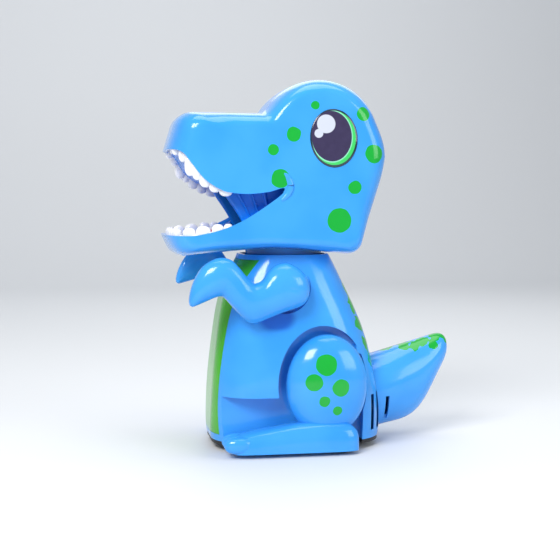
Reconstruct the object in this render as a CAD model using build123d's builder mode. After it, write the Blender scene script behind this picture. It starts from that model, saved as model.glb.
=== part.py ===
"""Dinosaur bubble machine: a battery toy that drives about and blows bubbles from its mouth.

Millimetres. +Z is up, the floor is Z = 0, the nose points to -X and the toy's left side faces -Y.
The body drives on a swivelling wheel unit at the front and two rollers under the feet. A ring wheel
in the mouth turns through a tray of bubble liquid while a fan blows through it from behind.
"""
from build123d import *
from math import pi
import os

os.makedirs("parts", exist_ok=True)

# ---- driving dimensions -------------------------------------------------------------------
# Places are drawn from the body's own middle; save() moves the origin to the middle of the
# whole toy's footprint, MIDDLE_X further back.
MIDDLE_X = 10.4
WALL = 2.4                # moulded shell thickness
SEAM = 0.05               # half the gap between the left and right shells
GAP = 0.3                 # clearance between neighbouring pieces that must not touch
RUN = 0.06                # radial clearance of a shaft in its hole
SCREW_R = 1.5             # self-tapping screw shank
SCREW_HEAD_R = 2.8

# head
HEAD_HALF = 41.0          # half the head's width
HEAD_EDGE = 8.0           # rounding of its long edges
HEAD_CORNERS = (          # side outline: x, z, corner radius
    (-80.0, 181.0, 25.0),
    (-81.0, 131.0, 9.0),
    (-74.5, 118.0, 9.0),
    (-15.0, 123.6, 160.0),
    (36.8, 118.4, 9.0),
    (54.6, 170.0, 80.0),
    (56.0, 203.8, 25.0),
    (-72.5, 205.2, 11.0),
)
NOSE_X = -82.0
NAPE_X = 56.0
DOME_AT = (13.5, 188.0)   # the raised crown that carries the eyes
DOME_R = 37.5
DOME_EDGE = 10.0
EYE_AT = (18.2, 188.6)
EYE_HALF = (14.4, 17.3)
EYE_TILT = 4.0
EYE_THICK = 0.5
LOWER_LIP = ((-81.5, 131.2), (-62.7, 131.5), (-46.8, 135.3), (-32.0, 142.3), (-15.1, 153.7))
UPPER_LIP = (
    (-12.0, 159.0), (-21.0, 156.9), (-41.6, 156.2), (-49.1, 158.1),
    (-58.5, 164.2), (-66.2, 173.5), (-72.4, 181.6), (-80.2, 182.4),
)

# torso sections: z, front x, back x, half width, corner radius
TORSO = (
    (6.0, -52.5, 53.0, 37.5, 27.0),
    (20.0, -53.0, 53.6, 39.5, 28.0),
    (35.0, -52.3, 51.6, 40.5, 28.0),
    (55.0, -50.5, 47.8, 39.5, 27.5),
    (75.0, -48.0, 42.0, 37.0, 26.0),
    (90.0, -45.3, 35.8, 34.5, 25.0),
    (105.0, -39.8, 28.8, 31.0, 23.0),
    (119.0, -33.5, 22.0, 27.0, 21.0),
)
BELLY_HALF = 25.0         # half width of the coloured belly panel
BELLY_BACK_X = -22.0
BELLY_Z = (10.0, 116.0)
SPLIT_Z = 119.0
NECK_TOP = 124.6

# tail sections, across X: x, bottom z, top z, half width
TAIL = (
    (44.0, 7.0, 52.0, 21.0),
    (56.0, 8.0, 55.4, 20.0),
    (70.0, 11.0, 59.4, 17.5),
    (82.0, 17.5, 62.8, 14.5),
    (91.0, 31.0, 65.4, 11.5),
    (97.0, 42.5, 66.4, 8.5),
    (101.6, 52.0, 63.0, 4.0),
)

# legs
THIGH_AT = (13.0, 41.0)
THIGH_HALF = (23.6, 31.0)
THIGH_Y = (39.0, 12.0)    # centre of the egg and how far it bulges from there
RECESS_GAP = 4.5
RECESS_Y = 28.0           # depth of the recess floor from the middle
FOOT_X = (-48.0, 34.0)
FOOT_Z = (2.6, 20.0)
FOOT_Y = (30.5, 52.0)
ROLLER_X = 23.5
ROLLER_R = 7.0
ROLLER_W = 6.0
ROLLER_Y = 42.0

# arms
SHOULDER = (-9.9, 100.1)
SHOULDER_R = 15.2
ARM_INNER_Y = 39.6
ARM_PIN_R = 3.0
RIGHT_ARM_LIFT = 7.6      # the right arm rests a little higher than the left
ARM_LOBES = (             # x, z, radius at the start; x, z, radius at the end; bulge outwards
    (-12.0, 98.5, 12.0, -30.0, 93.5, 10.6, 10.5),
    (-37.0, 92.2, 9.8, -44.5, 107.5, 9.6, 10.0),
    (-50.0, 107.0, 8.0, -64.0, 95.4, 4.6, 8.0),
)

# drive unit
MODULE = 0.8
SWIVEL_X = -32.5
WHEEL_R = 8.0
DRIVE_Z = WHEEL_R
WHEEL_Y = (7.4, 11.8)
TABLE_R = 14.8
FLANGE_R = 16.6
PLATE_Z = (3.6, 6.0)
SHAFT_TEETH = 24
IDLER_SMALL = 10
IDLER_BIG = 32
MOTOR_TEETH = 8
GEAR_LOW_Z = 27.0
GEAR_HIGH_Z = 31.0
GEAR_W = 3.0
BRACKET_Z = 36.0

# battery box
CELL_R = 7.2
CELL_LENGTH = 50.0
CELL_PITCH = 15.0
BOX_X = (-9.2, 45.6)
BOX_HALF = 24.4
BOX_TOP = 23.4

# bubble unit
RING_AT = (-26.0, 146.6)
RING_TEETH = 44
RING_PITCH = 11.4
RING_R = 4.2
RINGS = 6
BUBBLE_SMALL = 8
TUNNEL_HALF = 25.2
TUNNEL_X = (-46.7, -14.0)
TUNNEL_Z = (134.0, 169.0)
TRAY_X = (-46.0, -14.6)
TRAY_HALF = 24.0
TRAY_Z = (126.2, 133.6)
FAN_AT = (20.0, 170.2)
FAN_R = 14.0
NOZZLE_HALF = 5.8


# ---- helpers ------------------------------------------------------------------------------
def side_profile(points, inset=0.0):
    """Face in the XZ plane from (x, z, corner radius) points."""
    with BuildSketch(Plane.XZ) as profile:
        with BuildLine():
            FilletPolyline(*[(x, z) for x, z, _ in points], radius=[r for *_, r in points], close=True)
        make_face()
        if inset:
            offset(amount=-inset)
    return profile.sketch


def head_plan(inset):
    """Tall prism on the head's plan outline, drawn in by inset."""
    with BuildPart() as prism:
        with BuildSketch(Plane.XY.offset(100)):
            with BuildLine():
                corners = ((NOSE_X, 0), (NOSE_X + 2, -HEAD_HALF), (NAPE_X, -HEAD_HALF))
                mirrored = ((NAPE_X, HEAD_HALF), (NOSE_X + 2, HEAD_HALF))
                FilletPolyline(*corners, *mirrored, radius=[400, 22, 15, 15, 22], close=True)
            make_face()
            if inset:
                offset(amount=-inset)
        extrude(amount=140)
    return prism.part


def head_block(inset):
    """The head as a solid lump, drawn in by inset: side outline crossed with the plan, plus the crown."""
    half = HEAD_HALF - inset
    with BuildPart() as crown:
        with BuildSketch(Plane.XZ):
            with Locations(DOME_AT):
                Circle(DOME_R - inset)
        extrude(amount=half - 0.01, both=True)
        fillet(crown.edges().filter_by(GeomType.CIRCLE), DOME_EDGE - inset)
    with BuildPart() as block:
        extrude(side_profile(HEAD_CORNERS, inset), amount=half, both=True)
        rims = block.edges().filter_by(lambda e: abs(abs(e.center().Y) - half) < 0.01)
        fillet(rims, HEAD_EDGE - inset)
        add(head_plan(inset), mode=Mode.INTERSECT)
        add(crown.part)
    return block.part


def torso_block(inset, extra=0.0):
    """The torso as a solid lump, drawn in by inset and lengthened by extra at both ends."""
    with BuildPart() as block:
        last = len(TORSO) - 1
        for index, (z, front, back, half, corner) in enumerate(TORSO):
            level = z - extra if index == 0 else z + extra if index == last else z
            with BuildSketch(Plane.XY.offset(level)):
                with Locations(((front + back) / 2, 0)):
                    RectangleRounded(back - front - 2 * inset, 2 * (half - inset), corner - inset)
        loft()
    return block.part


def tail_block(inset, sections):
    """The tail as a lump of elliptical sections, drawn in by inset."""
    with BuildPart() as block:
        for x, low, high, half in sections:
            with BuildSketch(Plane.YZ.offset(x)):
                with Locations((0, (low + high) / 2)):
                    Ellipse(half - inset, (high - low) / 2 - inset)
        loft()
    return block.part


def leg_recess(side, grow):
    """Room in the torso for one leg: an egg-shaped well and a slot for the foot."""
    floor = RECESS_Y - grow
    with BuildPart() as recess:
        with BuildSketch(Plane.XZ.offset(-side * floor)):
            with Locations(THIGH_AT):
                Ellipse(THIGH_HALF[0] + RECESS_GAP + grow, THIGH_HALF[1] + RECESS_GAP + grow)
        extrude(amount=-side * 40)
        with BuildSketch(Plane.XZ.offset(-side * floor)):
            with Locations(((FOOT_X[0] - 8 + FOOT_X[1]) / 2, 14)):
                Rectangle(FOOT_X[1] - FOOT_X[0] + 16 + 2 * grow, 40 + 2 * grow)
        extrude(amount=-side * 40)
    return recess.part


def capsule(x1, z1, r1, x2, z2, r2, y, bulge):
    """Tapered round-ended lobe lying in the XZ plane, standing bulge either side of y."""
    with BuildPart() as lobe:
        with BuildSketch(Plane.XZ.offset(-y)):
            with Locations((x1, z1)):
                Circle(r1)
            with Locations((x2, z2)):
                Circle(r2)
            make_hull()
        extrude(amount=bulge, both=True)
        rims = lobe.edges().filter_by(lambda e: abs(abs(e.center().Y - y) - bulge) < 0.01)
        fillet(rims, min(r1, r2, bulge) * 0.86)
    return lobe.part


def egg(centre, halves, inset=0.0):
    """Ellipsoid from its centre and half axes."""
    with BuildPart() as lump:
        Sphere(1.0)
        scale(by=tuple(half - inset for half in halves))
    return Pos(*centre) * lump.part


def spur_gear(teeth, bottom, width, centre, bore, turn=0.0, module=MODULE, hub=0.0):
    """Straight-toothed gear with a vertical axis."""
    pitch = module * teeth / 2
    root = pitch - 1.15 * module
    tip = pitch + 0.9 * module
    thick = pi * module / 2 - 0.3
    slope = 0.36
    base_half = thick / 2 + slope * (pitch - root)
    tip_half = thick / 2 - slope * (tip - pitch)
    with BuildPart() as gear:
        with BuildSketch(Plane.XY.offset(bottom)):
            with Locations(centre):
                Circle(root + 0.02)
                with PolarLocations(0, teeth, start_angle=turn):
                    foot = root - 0.4
                    tooth = ((foot, -base_half), (tip, -tip_half), (tip, tip_half), (foot, base_half))
                    Polygon(*tooth, align=None)
                Circle(bore, mode=Mode.SUBTRACT)
        extrude(amount=width)
        if hub:
            with BuildSketch(Plane.XY.offset(bottom + width)):
                with Locations(centre):
                    Circle(root - 0.3)
                    Circle(bore, mode=Mode.SUBTRACT)
            extrude(amount=hub)
    return gear.part


def upright(gear, x):
    """Turn a gear made about the Z axis so that its axis lies along X, its low end at x."""
    return Pos(x, 0, 0) * Rot(0, 90, 0) * gear


def y_cylinder(radius, x, z, y_from, y_to):
    """Round bar along Y."""
    with BuildPart() as bar:
        with BuildSketch(Plane.XZ.offset(-y_from)):
            with Locations((x, z)):
                Circle(radius)
        extrude(amount=y_from - y_to)
    return bar.part


def x_cylinder(radius, y, z, x_from, x_to):
    """Round bar along X."""
    with BuildPart() as bar:
        with BuildSketch(Plane.YZ.offset(x_from)):
            with Locations((y, z)):
                Circle(radius)
        extrude(amount=x_to - x_from)
    return bar.part


def z_cylinder(radius, x, y, z_from, z_to):
    """Round bar along Z."""
    with BuildPart() as bar:
        with BuildSketch(Plane.XY.offset(z_from)):
            with Locations((x, y)):
                Circle(radius)
        extrude(amount=z_to - z_from)
    return bar.part


def brick(x, y, z):
    """Box from three (low, high) ranges."""
    with BuildPart() as block:
        with BuildSketch(Plane.XY.offset(z[0])):
            with Locations(((x[0] + x[1]) / 2, (y[0] + y[1]) / 2)):
                Rectangle(x[1] - x[0], y[1] - y[0])
        extrude(amount=z[1] - z[0])
    return block.part


def save(node, name):
    """Shift one finished piece to the toy's own origin, label it and write it."""
    node.part = Pos(-MIDDLE_X, 0, 0) * node.part
    node.part.label = name
    export_step(node.part, f"parts/{name}.step")


# ---- head shells --------------------------------------------------------------------------
HEAD_SCREWS = ((-57.0, 194.0), (-62.0, 122.8), (44.0, 192.0), (30.0, 128.0))
with BuildPart() as head:
    add(head_block(0))
    add(head_block(WALL), mode=Mode.SUBTRACT)
    for boss_x, boss_z in HEAD_SCREWS:
        add(y_cylinder(3.4, boss_x, boss_z, -HEAD_HALF + 1, HEAD_HALF - 1))
    with BuildSketch(Plane.XZ):
        with BuildLine():
            Polyline(*LOWER_LIP, *UPPER_LIP, (-95, 182.4), (-95, 131.2), close=True)
        make_face()
    extrude(amount=HEAD_HALF + 5, both=True, mode=Mode.SUBTRACT)
    add(z_cylinder(17.0, -4.0, 0, 110, 130), mode=Mode.SUBTRACT)
for side, side_name in ((-1, "left"), (1, "right")):
    with BuildPart() as head_shell:
        add(head.part)
        cut = Plane.XZ.offset(-side * SEAM)
        split(bisect_by=cut, keep=Keep.TOP if side < 0 else Keep.BOTTOM)
        for boss_x, boss_z in HEAD_SCREWS:
            if side < 0:
                add(y_cylinder(1.3, boss_x, boss_z, -HEAD_HALF + 6, 0), mode=Mode.SUBTRACT)
            else:
                add(y_cylinder(SCREW_R + 0.1, boss_x, boss_z, 0, HEAD_HALF + 1), mode=Mode.SUBTRACT)
                add(y_cylinder(SCREW_HEAD_R + 0.2, boss_x, boss_z, 20, HEAD_HALF + 1), mode=Mode.SUBTRACT)
    save(head_shell, f"head_shell_{side_name}")
with BuildPart() as head_screws:
    for boss_x, boss_z in HEAD_SCREWS:
        add(y_cylinder(1.3, boss_x, boss_z, -12, 0.2))
        add(y_cylinder(SCREW_R - 0.1, boss_x, boss_z, 0.2, 20))
        add(y_cylinder(SCREW_HEAD_R, boss_x, boss_z, 20, 22.2))
save(head_screws, "head_screws")

# ---- eyes: thin printed discs on the flat of the cheeks ---------------------------------
for side, side_name in ((-1, "left"), (1, "right")):
    with BuildPart() as eye:
        with BuildSketch(Plane.XZ.offset(-side * HEAD_HALF)):
            with Locations(Location(EYE_AT, -EYE_TILT)):
                Ellipse(*EYE_HALF)
        extrude(amount=-side * EYE_THICK)
    save(eye, f"eye_{side_name}")

# ---- teeth: white strips just inside the lips --------------------------------------------
TOOTH_THICK = 1.9
with BuildPart() as tooth_band:
    add(head_block(WALL + 0.1))
    add(head_plan(WALL + 0.1 + TOOTH_THICK), mode=Mode.SUBTRACT)
UPPER_GUM = (
    (-79.0, 187.0), (-69.0, 187.0), (-62.5, 178.5), (-56.0, 170.0), (-48.0, 163.4), (-41.6, 161.0),
    (-41.6, 156.0), (-49.1, 157.6), (-58.8, 163.9), (-66.6, 173.1), (-72.6, 180.8), (-79.0, 180.8),
)
UPPER_TEETH = ((-46.2, 157.4, 3.6), (-56.6, 162.6, 4.0), (-65.2, 170.4, 4.6), (-72.4, 180.0, 3.0))
with BuildPart() as upper_teeth:
    with BuildSketch(Plane.XZ):
        Polygon(*UPPER_GUM, align=None)
        for tooth_x, tooth_z, tooth_r in UPPER_TEETH:
            with Locations((tooth_x, tooth_z)):
                Circle(tooth_r)
    extrude(amount=HEAD_HALF, both=True)
    add(tooth_band.part, mode=Mode.INTERSECT)
save(upper_teeth, "upper_teeth")
LOWER_GUM = ((-79.0, 126.8), (-79.0, 132.2), (-62.7, 132.2), (-48.0, 135.4), (-47.0, 129.6), (-62.0, 126.8))
LOWER_TEETH = ((-76.5, 132.0, 2.6), (-67.6, 132.4, 3.4), (-59.2, 133.2, 3.6), (-51.0, 134.6, 3.4))
with BuildPart() as lower_teeth:
    with BuildSketch(Plane.XZ):
        Polygon(*LOWER_GUM, align=None)
        for tooth_x, tooth_z, tooth_r in LOWER_TEETH:
            with Locations((tooth_x, tooth_z)):
                Circle(tooth_r)
    extrude(amount=HEAD_HALF, both=True)
    add(tooth_band.part, mode=Mode.INTERSECT)
save(lower_teeth, "lower_teeth")

# ---- mouth lining: floor and roof of the mouth, with the tunnel that holds the ring wheel ----
LINER_INSET = WALL + 0.1 + TOOTH_THICK + 0.2
LINER_FLOOR = ((-74.0, 129.4), (-62.7, 129.4), (-46.8, 133.0), (-32.0, 140.0), (-14.0, 152.2))
LINER_ROOF = ((-14.0, 161.4), (-41.6, 161.6), (-49.0, 164.4), (-57.0, 171.4), (-63.6, 179.6), (-73.0, 184.6))
LINER_FLOOR_UNDER = ((-14.0, 149.8), (-32.0, 137.8), (-46.4, 130.8), (-62.5, 127.2), (-74.0, 127.2))
LINER_ROOF_TOP = (
    (-73.0, 187.2), (-61.8, 181.4), (-55.0, 173.2), (-48.0, 166.6), (-41.6, 163.8), (-14.0, 163.6),
)
ring_x, ring_z = RING_AT
AIR_Z = ring_z + RING_PITCH
PINION_Y = MODULE * (RING_TEETH + BUBBLE_SMALL) / 2
with BuildPart() as mouth_liner:
    with BuildSketch(Plane.XZ):
        Polygon(*LINER_FLOOR, *LINER_FLOOR_UNDER, align=None)
        Polygon(*LINER_ROOF, *LINER_ROOF_TOP, align=None)
    extrude(amount=HEAD_HALF, both=True)
    tunnel_wall = TUNNEL_HALF + 1.6
    add(brick(TUNNEL_X, (-tunnel_wall, tunnel_wall), (TUNNEL_Z[0] + 0.4, TUNNEL_Z[1])))
    add(brick((-16.4, -14.0), (-HEAD_HALF, HEAD_HALF), (149.8, 163.6)))
    tunnel_front = TUNNEL_X[0] - 1
    tunnel_room = (TUNNEL_Z[0], TUNNEL_Z[1] - 1.6)
    add(brick((tunnel_front, -16.4), (-TUNNEL_HALF, TUNNEL_HALF), tunnel_room), mode=Mode.SUBTRACT)
    add(brick((tunnel_front, -40.0), (-30, 30), (139.0, 149.0)), mode=Mode.SUBTRACT)
    add(brick((-52.0, -40.0), (-TUNNEL_HALF, TUNNEL_HALF), (133.4, 165.0)), mode=Mode.SUBTRACT)
    tray_room_x = (TRAY_X[0] - GAP, -16.4)
    tray_room_y = (-TRAY_HALF - GAP, TRAY_HALF + GAP)
    add(brick(tray_room_x, tray_room_y, (120.0, TUNNEL_Z[0] + 0.1)), mode=Mode.SUBTRACT)
    for rib_x in (-38.0, -30.0, -22.0):
        for side in (-1, 1):
            rib_y = sorted((side * (tunnel_wall - 0.1), side * (tunnel_wall + 1.2)))
            add(brick((rib_x, rib_x + 1.6), rib_y, (143.0, 160.0)))
    add(x_cylinder(4.0, 0, ring_z, -19.5, -16.0))
    add(x_cylinder(1.5, 0, ring_z, -21.0, -13.0), mode=Mode.SUBTRACT)
    add(x_cylinder(5.4, 0, AIR_Z, -17, -13), mode=Mode.SUBTRACT)
    add(x_cylinder(1.4, PINION_Y, ring_z, -17, -13), mode=Mode.SUBTRACT)
    add(head_block(WALL + 0.1), mode=Mode.INTERSECT)
    add(head_plan(LINER_INSET), mode=Mode.INTERSECT)
save(mouth_liner, "mouth_liner")

# ---- liquid tray under the ring wheel ----------------------------------------------------
with BuildPart() as reservoir_tray:
    add(brick(TRAY_X, (-TRAY_HALF, TRAY_HALF), TRAY_Z))
    tray_room = (TRAY_X[0] + 1.4, TRAY_X[1] - 1.4)
    tray_half = TRAY_HALF - 1.4
    add(brick(tray_room, (-tray_half, tray_half), (TRAY_Z[0] + 1.4, TRAY_Z[1] + 1)), mode=Mode.SUBTRACT)
save(reservoir_tray, "reservoir_tray")

# ---- tongue ------------------------------------------------------------------------------
with BuildPart() as tongue:
    with BuildSketch(Plane.XZ):
        under = ((-71.0, 129.45), (-62.7, 129.45), (-48.0, 132.8))
        top = ((-48.0, 134.6), (-63.0, 131.8), (-71.0, 131.4))
        Polygon(*under, *top, align=None)
    extrude(amount=8.0, both=True)
    with BuildSketch(Plane.XY.offset(125)):
        with Locations((-55.0, 0)):
            SlotOverall(32.0, 16.0)
    extrude(amount=12, mode=Mode.INTERSECT)
save(tongue, "tongue")

# ---- ring wheel: toothed rim, six rings, turning on a pin in the tunnel's back wall ---------
with BuildPart() as bubble_wheel:
    rim_root = MODULE * (RING_TEETH / 2 - 1.15)
    add(upright(spur_gear(RING_TEETH, 0, 2.4, (-ring_z, 0), rim_root - 2.0), ring_x - 1.2))
    with BuildSketch(Plane.YZ.offset(ring_x - 1.2)):
        with Locations((0, ring_z)):
            Circle(4.0)
            with PolarLocations(rim_root / 2, RINGS, start_angle=60):
                Rectangle(rim_root - 1.0, 2.2)
            with PolarLocations(RING_PITCH, RINGS, start_angle=90):
                Circle(RING_R + 1.1)
            with PolarLocations(RING_PITCH, RINGS, start_angle=90):
                Circle(RING_R, mode=Mode.SUBTRACT)
    extrude(amount=2.4)
    add(x_cylinder(3.6, 0, ring_z, ring_x - 3.0, ring_x + 4.0))
    add(x_cylinder(1.5 + RUN, 0, ring_z, ring_x - 4.0, ring_x + 5.0), mode=Mode.SUBTRACT)
save(bubble_wheel, "bubble_wheel")
with BuildPart() as bubble_wheel_pin:
    add(x_cylinder(1.5, 0, ring_z, ring_x - 3.4, -14.0))
    add(x_cylinder(2.8, 0, ring_z, ring_x - 4.4, ring_x - 3.3))
save(bubble_wheel_pin, "bubble_wheel_pin")
with BuildPart() as bubble_pinion:
    half_pitch = 180 / BUBBLE_SMALL
    add(upright(spur_gear(BUBBLE_SMALL, 0, 3.0, (-ring_z, PINION_Y), 1.0, half_pitch), ring_x - 1.5))
save(bubble_pinion, "bubble_pinion")
with BuildPart() as bubble_motor_shaft:
    add(x_cylinder(1.0, PINION_Y, ring_z, ring_x - 1.7, -8.0))
save(bubble_motor_shaft, "bubble_motor_shaft")
with BuildPart() as bubble_motor:
    add(x_cylinder(9.0, PINION_Y, ring_z, -13.8, 8.0))
    can_y = (PINION_Y - 12, PINION_Y + 12)
    add(brick((-13.8, 8.0), can_y, (ring_z - 7.4, ring_z + 7.4)), mode=Mode.INTERSECT)
    add(x_cylinder(1.0 + RUN, PINION_Y, ring_z, -14.5, -7.6), mode=Mode.SUBTRACT)
save(bubble_motor, "bubble_motor")

# ---- fan: scroll housing, impeller and motor ----------------------------------------------
fan_x, fan_z = FAN_AT
nozzle_low = fan_z - FAN_R - 4.0
nozzle_mid = nozzle_low + NOZZLE_HALF
with BuildPart() as fan_housing:
    with BuildSketch(Plane.XZ.offset(-9)):
        with Locations(FAN_AT):
            Circle(FAN_R + 4.0)
        with Locations(((fan_x - 13.8) / 2, nozzle_mid)):
            Rectangle(fan_x + 13.8, 2 * NOZZLE_HALF)
    extrude(amount=18)
    with BuildSketch(Plane.XZ.offset(-7.4)):
        with Locations(FAN_AT):
            Circle(FAN_R + 2.4)
        with Locations(((fan_x - 16) / 2, nozzle_mid)):
            Rectangle(fan_x + 16, 2 * NOZZLE_HALF - 3.2)
    extrude(amount=14.8, mode=Mode.SUBTRACT)
    add(y_cylinder(8.0, fan_x, fan_z, -10, -7), mode=Mode.SUBTRACT)
    add(y_cylinder(1.0 + RUN, fan_x, fan_z, 7, 10), mode=Mode.SUBTRACT)
save(fan_housing, "fan_housing")
with BuildPart() as fan_impeller:
    add(y_cylinder(FAN_R, fan_x, fan_z, 4.6, 6.2))
    add(y_cylinder(3.0, fan_x, fan_z, -1.0, 4.7))
    with BuildSketch(Plane.XZ.offset(-4.7)):
        with Locations(FAN_AT):
            with PolarLocations(FAN_R - 2.4, 16):
                Rectangle(4.4, 0.9, rotation=35)
    extrude(amount=10.0)
    add(y_cylinder(1.0, fan_x, fan_z, -2, 7), mode=Mode.SUBTRACT)
save(fan_impeller, "fan_impeller")
with BuildPart() as fan_motor_shaft:
    add(y_cylinder(1.0, fan_x, fan_z, -0.6, 13.4))
save(fan_motor_shaft, "fan_motor_shaft")
with BuildPart() as fan_motor:
    add(y_cylinder(9.0, fan_x, fan_z, 9.1, 29.0))
    add(brick((fan_x - 12, fan_x + 12), (9.1, 29.0), (fan_z - 7.4, fan_z + 7.4)), mode=Mode.INTERSECT)
    add(y_cylinder(1.0 + RUN, fan_x, fan_z, 8.0, 13.6), mode=Mode.SUBTRACT)
save(fan_motor, "fan_motor")

# ---- torso shells --------------------------------------------------------------------------
torso_outer = torso_block(0)
torso_inner = torso_block(WALL, extra=1.0)
tail_outer = tail_block(0, TAIL)
belly_window = brick((-70, BELLY_BACK_X), (-BELLY_HALF, BELLY_HALF), BELLY_Z)
BODY_SCREWS = ((25.6, 92.0), (-24.0, 62.0), (37.6, 62.0))
LEG_SCREWS = (34.0, 58.0)
SLOTS = ((44.2, 33.0), (49.2, 33.5), (57.0, 29.5))
with BuildPart() as body:
    add(torso_outer)
    for side in (-1, 1):
        add(leg_recess(side, 0), mode=Mode.SUBTRACT)
    with BuildPart(mode=Mode.PRIVATE) as hollow:
        add(torso_inner)
        for side in (-1, 1):
            add(leg_recess(side, WALL), mode=Mode.SUBTRACT)
    add(hollow.part, mode=Mode.SUBTRACT)
    for side in (-1, 1):
        shoulder_x, shoulder_z = SHOULDER
        well_y = sorted((side * 28.0, side * 36.0))
        add(y_cylinder(SHOULDER_R + 3.2, shoulder_x, shoulder_z, well_y[0], well_y[1]))
        cup_y = sorted((side * 30.6, side * 60.0))
        add(y_cylinder(SHOULDER_R + 0.9, shoulder_x, shoulder_z, cup_y[0], cup_y[1]), mode=Mode.SUBTRACT)
        pin_y = sorted((side * 26.0, side * 31.0))
        add(y_cylinder(ARM_PIN_R + RUN, shoulder_x, shoulder_z, pin_y[0], pin_y[1]), mode=Mode.SUBTRACT)
    add(brick((-60, 60), (-60, 60), (0, 6.0)), mode=Mode.SUBTRACT)
    for boss_x, boss_z in BODY_SCREWS:
        add(y_cylinder(3.4, boss_x, boss_z, -40, 40))
    add(torso_block(0), mode=Mode.INTERSECT)
    add(belly_window, mode=Mode.SUBTRACT)
    for side in (-1, 1):
        for boss_z in LEG_SCREWS:
            hole_y = sorted((side * 24.0, side * 29.0))
            add(y_cylinder(SCREW_R + 0.1, THIGH_AT[0], boss_z, hole_y[0], hole_y[1]), mode=Mode.SUBTRACT)
    for slot_x, slot_top in SLOTS[:2]:
        for side in (-1, 1):
            slot_y = sorted((side * 14.0, side * 45.0))
            add(brick((slot_x, slot_x + 2.4), slot_y, (11.0, slot_top)), mode=Mode.SUBTRACT)
for side, side_name in ((-1, "left"), (1, "right")):
    with BuildPart() as body_shell:
        add(body.part)
        split(bisect_by=Plane.XZ.offset(-side * SEAM), keep=Keep.TOP if side < 0 else Keep.BOTTOM)
        for boss_x, boss_z in BODY_SCREWS:
            if side < 0:
                add(y_cylinder(1.3, boss_x, boss_z, -18, 0), mode=Mode.SUBTRACT)
            else:
                add(y_cylinder(SCREW_R + 0.1, boss_x, boss_z, 0, 26), mode=Mode.SUBTRACT)
                add(y_cylinder(SCREW_HEAD_R + 0.2, boss_x, boss_z, 20, 45), mode=Mode.SUBTRACT)
    save(body_shell, f"body_shell_{side_name}")
with BuildPart() as body_screws:
    for boss_x, boss_z in BODY_SCREWS:
        add(y_cylinder(1.3, boss_x, boss_z, -12, 0.2))
        add(y_cylinder(SCREW_R - 0.1, boss_x, boss_z, 0.2, 20))
        add(y_cylinder(SCREW_HEAD_R, boss_x, boss_z, 20, 22.2))
save(body_screws, "body_screws")

# ---- belly panel ----------------------------------------------------------------------------
with BuildPart() as belly_panel:
    add(torso_outer)
    add(torso_inner, mode=Mode.SUBTRACT)
    inner_half = BELLY_HALF - 0.15
    inner_z = (BELLY_Z[0] + 0.15, BELLY_Z[1] - 0.15)
    add(brick((-70, BELLY_BACK_X - 0.15), (-inner_half, inner_half), inner_z), mode=Mode.INTERSECT)
save(belly_panel, "belly_panel")

# ---- tail -------------------------------------------------------------------------------------
with BuildPart() as tail:
    add(tail_outer)
    add(tail_block(WALL, TAIL[:-2]), mode=Mode.SUBTRACT)
    add(torso_outer, mode=Mode.SUBTRACT)
    slot_x, slot_top = SLOTS[2]
    for side in (-1, 1):
        slot_y = sorted((side * 12.0, side * 45.0))
        add(brick((slot_x, slot_x + 2.4), slot_y, (13.0, slot_top)), mode=Mode.SUBTRACT)
save(tail, "tail")

# ---- neck collar -----------------------------------------------------------------------------
with BuildPart() as neck_collar:
    with BuildSketch(Plane.XY.offset(SPLIT_Z)):
        with Locations((-5.0, 0)):
            Ellipse(24.0, 22.0)
            Circle(16.6, mode=Mode.SUBTRACT)
    extrude(amount=6.0)
    add(head_block(0), mode=Mode.SUBTRACT)
    add(brick((-40, 40), (-40, 40), (SPLIT_Z, SPLIT_Z + 5.2)), mode=Mode.INTERSECT)
save(neck_collar, "neck_collar")

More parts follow.
